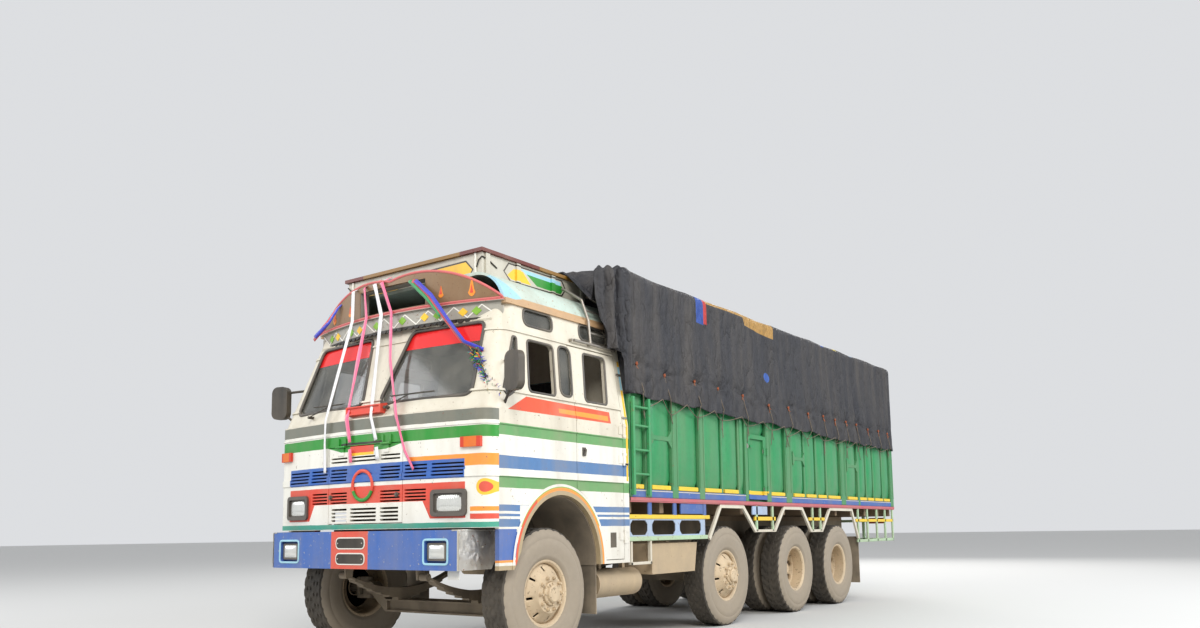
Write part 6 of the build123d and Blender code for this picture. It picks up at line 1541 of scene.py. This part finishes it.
padObjects = []
bases = bmesh.new()
for x0, x1, y0, y1 in seating["places"]:
    inset, low = seating["inset"], seating["low"]
    high = low + seating["cushion"]
    parts = [((x0 + seating["backThick"] + 0.004, x1 - inset), (y0 + inset, y1 - inset),
              (low + inset * 0.3, high - inset)),
             ((x0 + inset, x0 + seating["backThick"] - inset * 0.4), (y0 + inset, y1 - inset),
              (low + 0.020, seating["backHigh"] - inset))]
    for kind, (x, y, z) in enumerate(parts):
        pad = padMesh((atX(x[0]), atX(x[1])), y, z)
        swell(pad)
        count = max(2, round((y[1] - y[0]) / seating["channelPitch"]))
        for vert in pad.data.vertices:
            across = (vert.co.y - y[0]) / (y[1] - y[0]) * count
            gap = abs(across - round(across)) * (y[1] - y[0]) / count
            inner = 0.5 < across < count - 0.5
            face = vert.co.z > z[1] - 0.03 if kind == 0 else vert.co.x > atX(x[1]) - 0.03
            if inner and face:
                cut = seating["channelDeep"] * math.exp(-(gap / seating["channelWide"]) ** 2)
                if kind == 0:
                    vert.co.z -= cut
                else:
                    vert.co.x -= cut
        padObjects.append(pad)
    base = seating["base"]
    addBox(bases, (atX(x0 + base), atX(x1 - base)), (y0 + base, y1 - base),
           (seating["floor"] + 0.001, low + 0.004), bevel=0.006)
    addBox(bases, (atX(x0 + 0.004), atX(x1 - 0.010)), (y0 + 0.006, y1 - 0.006), (low - 0.012, low + 0.004),
           bevel=0.003)
    for y in (y0 + 0.08, y1 - 0.08):                       # uprights behind the backrest
        addBox(bases, (atX(x0 + 0.001), atX(x0 + 0.012)), (y - 0.015, y + 0.015),
               (low - 0.010, seating["backHigh"] - 0.06), bevel=0.002)
mesh = bmesh.new()
for pad in padObjects:
    mesh.from_mesh(pad.data)
    bpy.data.objects.remove(pad)
pads = newPiece("seatPads", mesh, "seatCover", "truck", smooth=True, outwards=False)
pads.modifiers.new("smooth", "SUBSURF").levels = 1
pads.modifiers["smooth"].render_levels = 1
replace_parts(pads, "seats")
newPiece("seatBases", bases, "blackPlastic", "truck", smooth=True, angle=35)
print("seats made")

# fittings: hinges and latches of the side doors, foot steps, strap latches of the cab
doorFittings = {"front": -3.525, "back": -3.975, "hinges": [1.455, 1.890], "latch": 1.930}
mesh = {name: bmesh.new() for name in ("access_door_left", "access_door_right", "truck")}
for side, word in ((1, "left"), (-1, "right")):
    table = doorFittings
    leaf = mesh["access_door_" + word]
    for z in table["hinges"]:                              # knuckle and leaf of each hinge
        addBox(leaf, (atX(table["back"] + 0.004), atX(table["back"] + 0.078)), (side * 1.2475, side * 1.2530),
               (z - 0.022, z + 0.022), bevel=0.002, finish=1)
        for x in (table["back"] + 0.030, table["back"] + 0.060):
            addRod(leaf, (atX(x), side * 1.2520, z), (atX(x), side * 1.2560, z), 0.005, sides=8, finish=1)
        addRod(mesh["truck"], (atX(table["back"] - 0.010), side * 1.2535, z - 0.040),
               (atX(table["back"] - 0.010), side * 1.2535, z + 0.040), 0.008, finish=1)
    addBox(leaf, (atX(table["front"] - 0.070), atX(table["front"] - 0.006)), (side * 1.2475, side * 1.2540),
           (table["latch"] - 0.012, table["latch"] + 0.012), bevel=0.002, finish=1)
    addRod(leaf, (atX(table["front"] - 0.050), side * 1.252, table["latch"]),
           (atX(table["front"] - 0.050), side * 1.263, table["latch"] - 0.02), 0.005, sides=8, finish=1)
    addBox(mesh["truck"], (atX(table["front"] + 0.006), atX(table["front"] + 0.036)),
           (side * 1.2470, side * 1.2560), (table["latch"] - 0.026, table["latch"] + 0.026), bevel=0.002,
           finish=1)
footSteps = {"front": -1.150, "back": -1.500, "low": 0.700, "high": 0.914, "bar": 0.026, "in": 1.206,
             "out": 1.240}
for side in (1, -1):
    table = footSteps
    y = (side * table["in"], side * table["out"])
    for x in (table["front"], table["back"] + table["bar"]):
        addBox(mesh["truck"], (atX(x - table["bar"]), atX(x)), y, (table["low"], table["high"]), bevel=0.003,
               finish=2)
    addBox(mesh["truck"], (atX(table["back"]), atX(table["front"])), y,
           (table["low"], table["low"] + table["bar"]), bevel=0.003, finish=2)
    for z in (1.60, 2.02, 2.42):                           # strap latches up the rear pillar of the cab
        addBox(mesh["truck"], (atX(-1.100), atX(-1.020)), (side * sideY(z), side * (sideY(z) + 0.005)),
               (z - 0.010, z + 0.010), bevel=0.002, finish=1)
        addRod(mesh["truck"], (atX(-1.040), side * (sideY(z) + 0.003), z),
               (atX(-1.040), side * (sideY(z) + 0.013), z - 0.012), 0.005, sides=8, finish=1)
for body, one in mesh.items():
    newPiece("fittings_" + body, one, ["postGreen", "bareSteel", "cream"], body, smooth=True,
             angle=35)
print("body fittings made")

# finishes of the CAD pieces that stay
carried = {
    "chassis_frame": "frameSteel", "front_axle": "darkSteel", "knuckle_left": "darkSteel",
    "knuckle_right": "darkSteel", "tie_rod": "darkSteel",
    "rear_axles": "darkSteel", "driveline": "darkSteel", "leaf_springs": "darkSteel", "load_deck": "boards",
    "stake_rack": "frameSteel",
    "tanks": "beigeBox", "mudflaps": "rubber", "arch_liners": "frameSteel", "cab_floor": "frameSteel",
    "dashboard": "blackPlastic",
    "steering_wheel": "blackPlastic", "roof_rack": "bareSteel", "wipers": "blackPlastic",
    "mirrors": "blackPlastic",
    "ladders": "ladderGreen", "spare_tyre": "tyreRubber", "spare_rim": "rimPaint", "tailgate": "gatePaint",
    "access_door_left": "gatePaint",
    "access_door_right": "gatePaint", "cab_front": "frontPaint", "cab_sides": "sidePaint",
    "cab_rear_wall": "sidePaint", "cab_roof": "roofPaint",
    "door_left": "sidePaint", "door_right": "sidePaint", "grille_flap": "frontPaint", "crown": "crownPaint",
    "visor": "visorPaint", "bumper": "bumperPaint",
    "front_scoop": "plain_red", "lamps": "lampPaint",
}
glass = bpy.data.materials.new("windowGlass")
glass.use_nodes = True
glassTree = glass.node_tree
pane = glassTree.nodes["Principled BSDF"]
pane.inputs["Roughness"].default_value = 0.08
pane.inputs["Alpha"].default_value = 0.52
pane.inputs["Specular IOR Level"].default_value = 0.8
glassCoord = glassTree.nodes.new("ShaderNodeTexCoord").outputs["Object"]
smear = ramp(glassTree, grain(glassTree, glassCoord, 5, 5),
             [(0.3, (0.10, 0.105, 0.10)), (0.75, (0.22, 0.215, 0.19))])
glassSplit = glassTree.nodes.new("ShaderNodeSeparateXYZ")
glassTree.links.new(glassCoord, glassSplit.inputs[0])
glassAxes = {"x": glassSplit.outputs[0], "y": glassSplit.outputs[1], "z": glassSplit.outputs[2]}
sunStrip = inside(glassTree, glassCoord, glassAxes, [("z", 2.512, 2.70), ("x", atX(0.44), 9)])
glassTree.links.new(mixColour(glassTree, sunStrip, smear, (0.75, 0.035, 0.035)), pane.inputs["Base Color"])
glassTree.links.new(maths(glassTree, "MAXIMUM", maths(glassTree, "MULTIPLY", sunStrip, 0.96), 0.55),
                    pane.inputs["Alpha"])
finishes["glass"] = glass
carried["windows"] = "glass"
for name, finish in carried.items():
    giveFinish(nodes[name], finish)
print("carried finishes given")

# studio: pale floor, soft light, camera at the photograph's place
camera = {"place": (9.636, 5.888, 1.016), "yaw": 35.032, "pitch": 6.709, "roll": -0.795, "lens": 27.77,
          "shiftX": -0.00566, "shiftY": 0.0894}
yaw, pitch, roll = (math.radians(camera[key]) for key in ("yaw", "pitch", "roll"))
forward = Vector((-math.cos(yaw) * math.cos(pitch), -math.sin(yaw) * math.cos(pitch), math.sin(pitch)))
right = forward.cross(Vector((0, 0, 1))).normalized()
up = right.cross(forward)
right, up = right * math.cos(roll) + up * math.sin(roll), -right * math.sin(roll) + up * math.cos(roll)
lensData = bpy.data.cameras.new("camera")
lensData.sensor_width = 36
lensData.lens = camera["lens"]
lensData.shift_x = camera["shiftX"]
lensData.shift_y = camera["shiftY"]
lensData.clip_end = 200
eye = bpy.data.objects.new("camera", lensData)
eye.matrix_world = Matrix(((right.x, up.x, -forward.x, camera["place"][0]),
                           (right.y, up.y, -forward.y, camera["place"][1]),
                           (right.z, up.z, -forward.z, camera["place"][2]), (0, 0, 0, 1)))
bpy.context.scene.collection.objects.link(eye)
bpy.context.scene.camera = eye

floorMesh = bmesh.new()
bmesh.ops.create_circle(floorMesh, cap_ends=True, segments=96, radius=140)
floorData = bpy.data.meshes.new("floor")
floorMesh.to_mesh(floorData)
floorMesh.free()
floor = bpy.data.objects.new("floor", floorData)
bpy.context.scene.collection.objects.link(floor)
floorFinish = bpy.data.materials.new("floorPaint")
floorFinish.use_nodes = True
floorFinish.node_tree.nodes["Principled BSDF"].inputs["Base Color"].default_value = (0.60, 0.60, 0.59, 1)
floorFinish.node_tree.nodes["Principled BSDF"].inputs["Roughness"].default_value = 0.9
floorData.materials.append(floorFinish)

studio = {"sky": (0.96, 0.975, 1.0), "skyStrength": 0.70,
          "lamps": [((16, 12, 13), 9.0, 2600, (1.0, 0.97, 0.92)),
                    ((-3, 15, 9), 10.0, 1500, (0.93, 0.96, 1.0)), ((14, -12, 9), 9.0, 900, (0.95, 0.97, 1.0)),
                    ((-16, -4, 10), 9.0, 1100, (1.0, 0.98, 0.95))]}
world = bpy.data.worlds.new("studio")
world.use_nodes = True
world.node_tree.nodes["Background"].inputs[0].default_value = (*studio["sky"], 1)
world.node_tree.nodes["Background"].inputs[1].default_value = studio["skyStrength"]
bpy.context.scene.world = world
for index, (spot, size, power, colour) in enumerate(studio["lamps"]):
    light = bpy.data.lights.new("lamp" + str(index), "AREA")
    light.size = size
    light.energy = power
    light.color = colour
    lamp = bpy.data.objects.new("lamp" + str(index), light)
    facing = (Vector((0, 0, 1.5)) - Vector(spot)).to_track_quat("-Z", "Y").to_matrix().to_4x4()
    lamp.matrix_world = Matrix.Translation(spot) @ facing
    bpy.context.scene.collection.objects.link(lamp)
bpy.context.scene.view_settings.view_transform = "Standard"
bpy.context.scene.view_settings.look = "Medium High Contrast"
bpy.context.scene.view_settings.exposure = -0.12

print("studio ready")
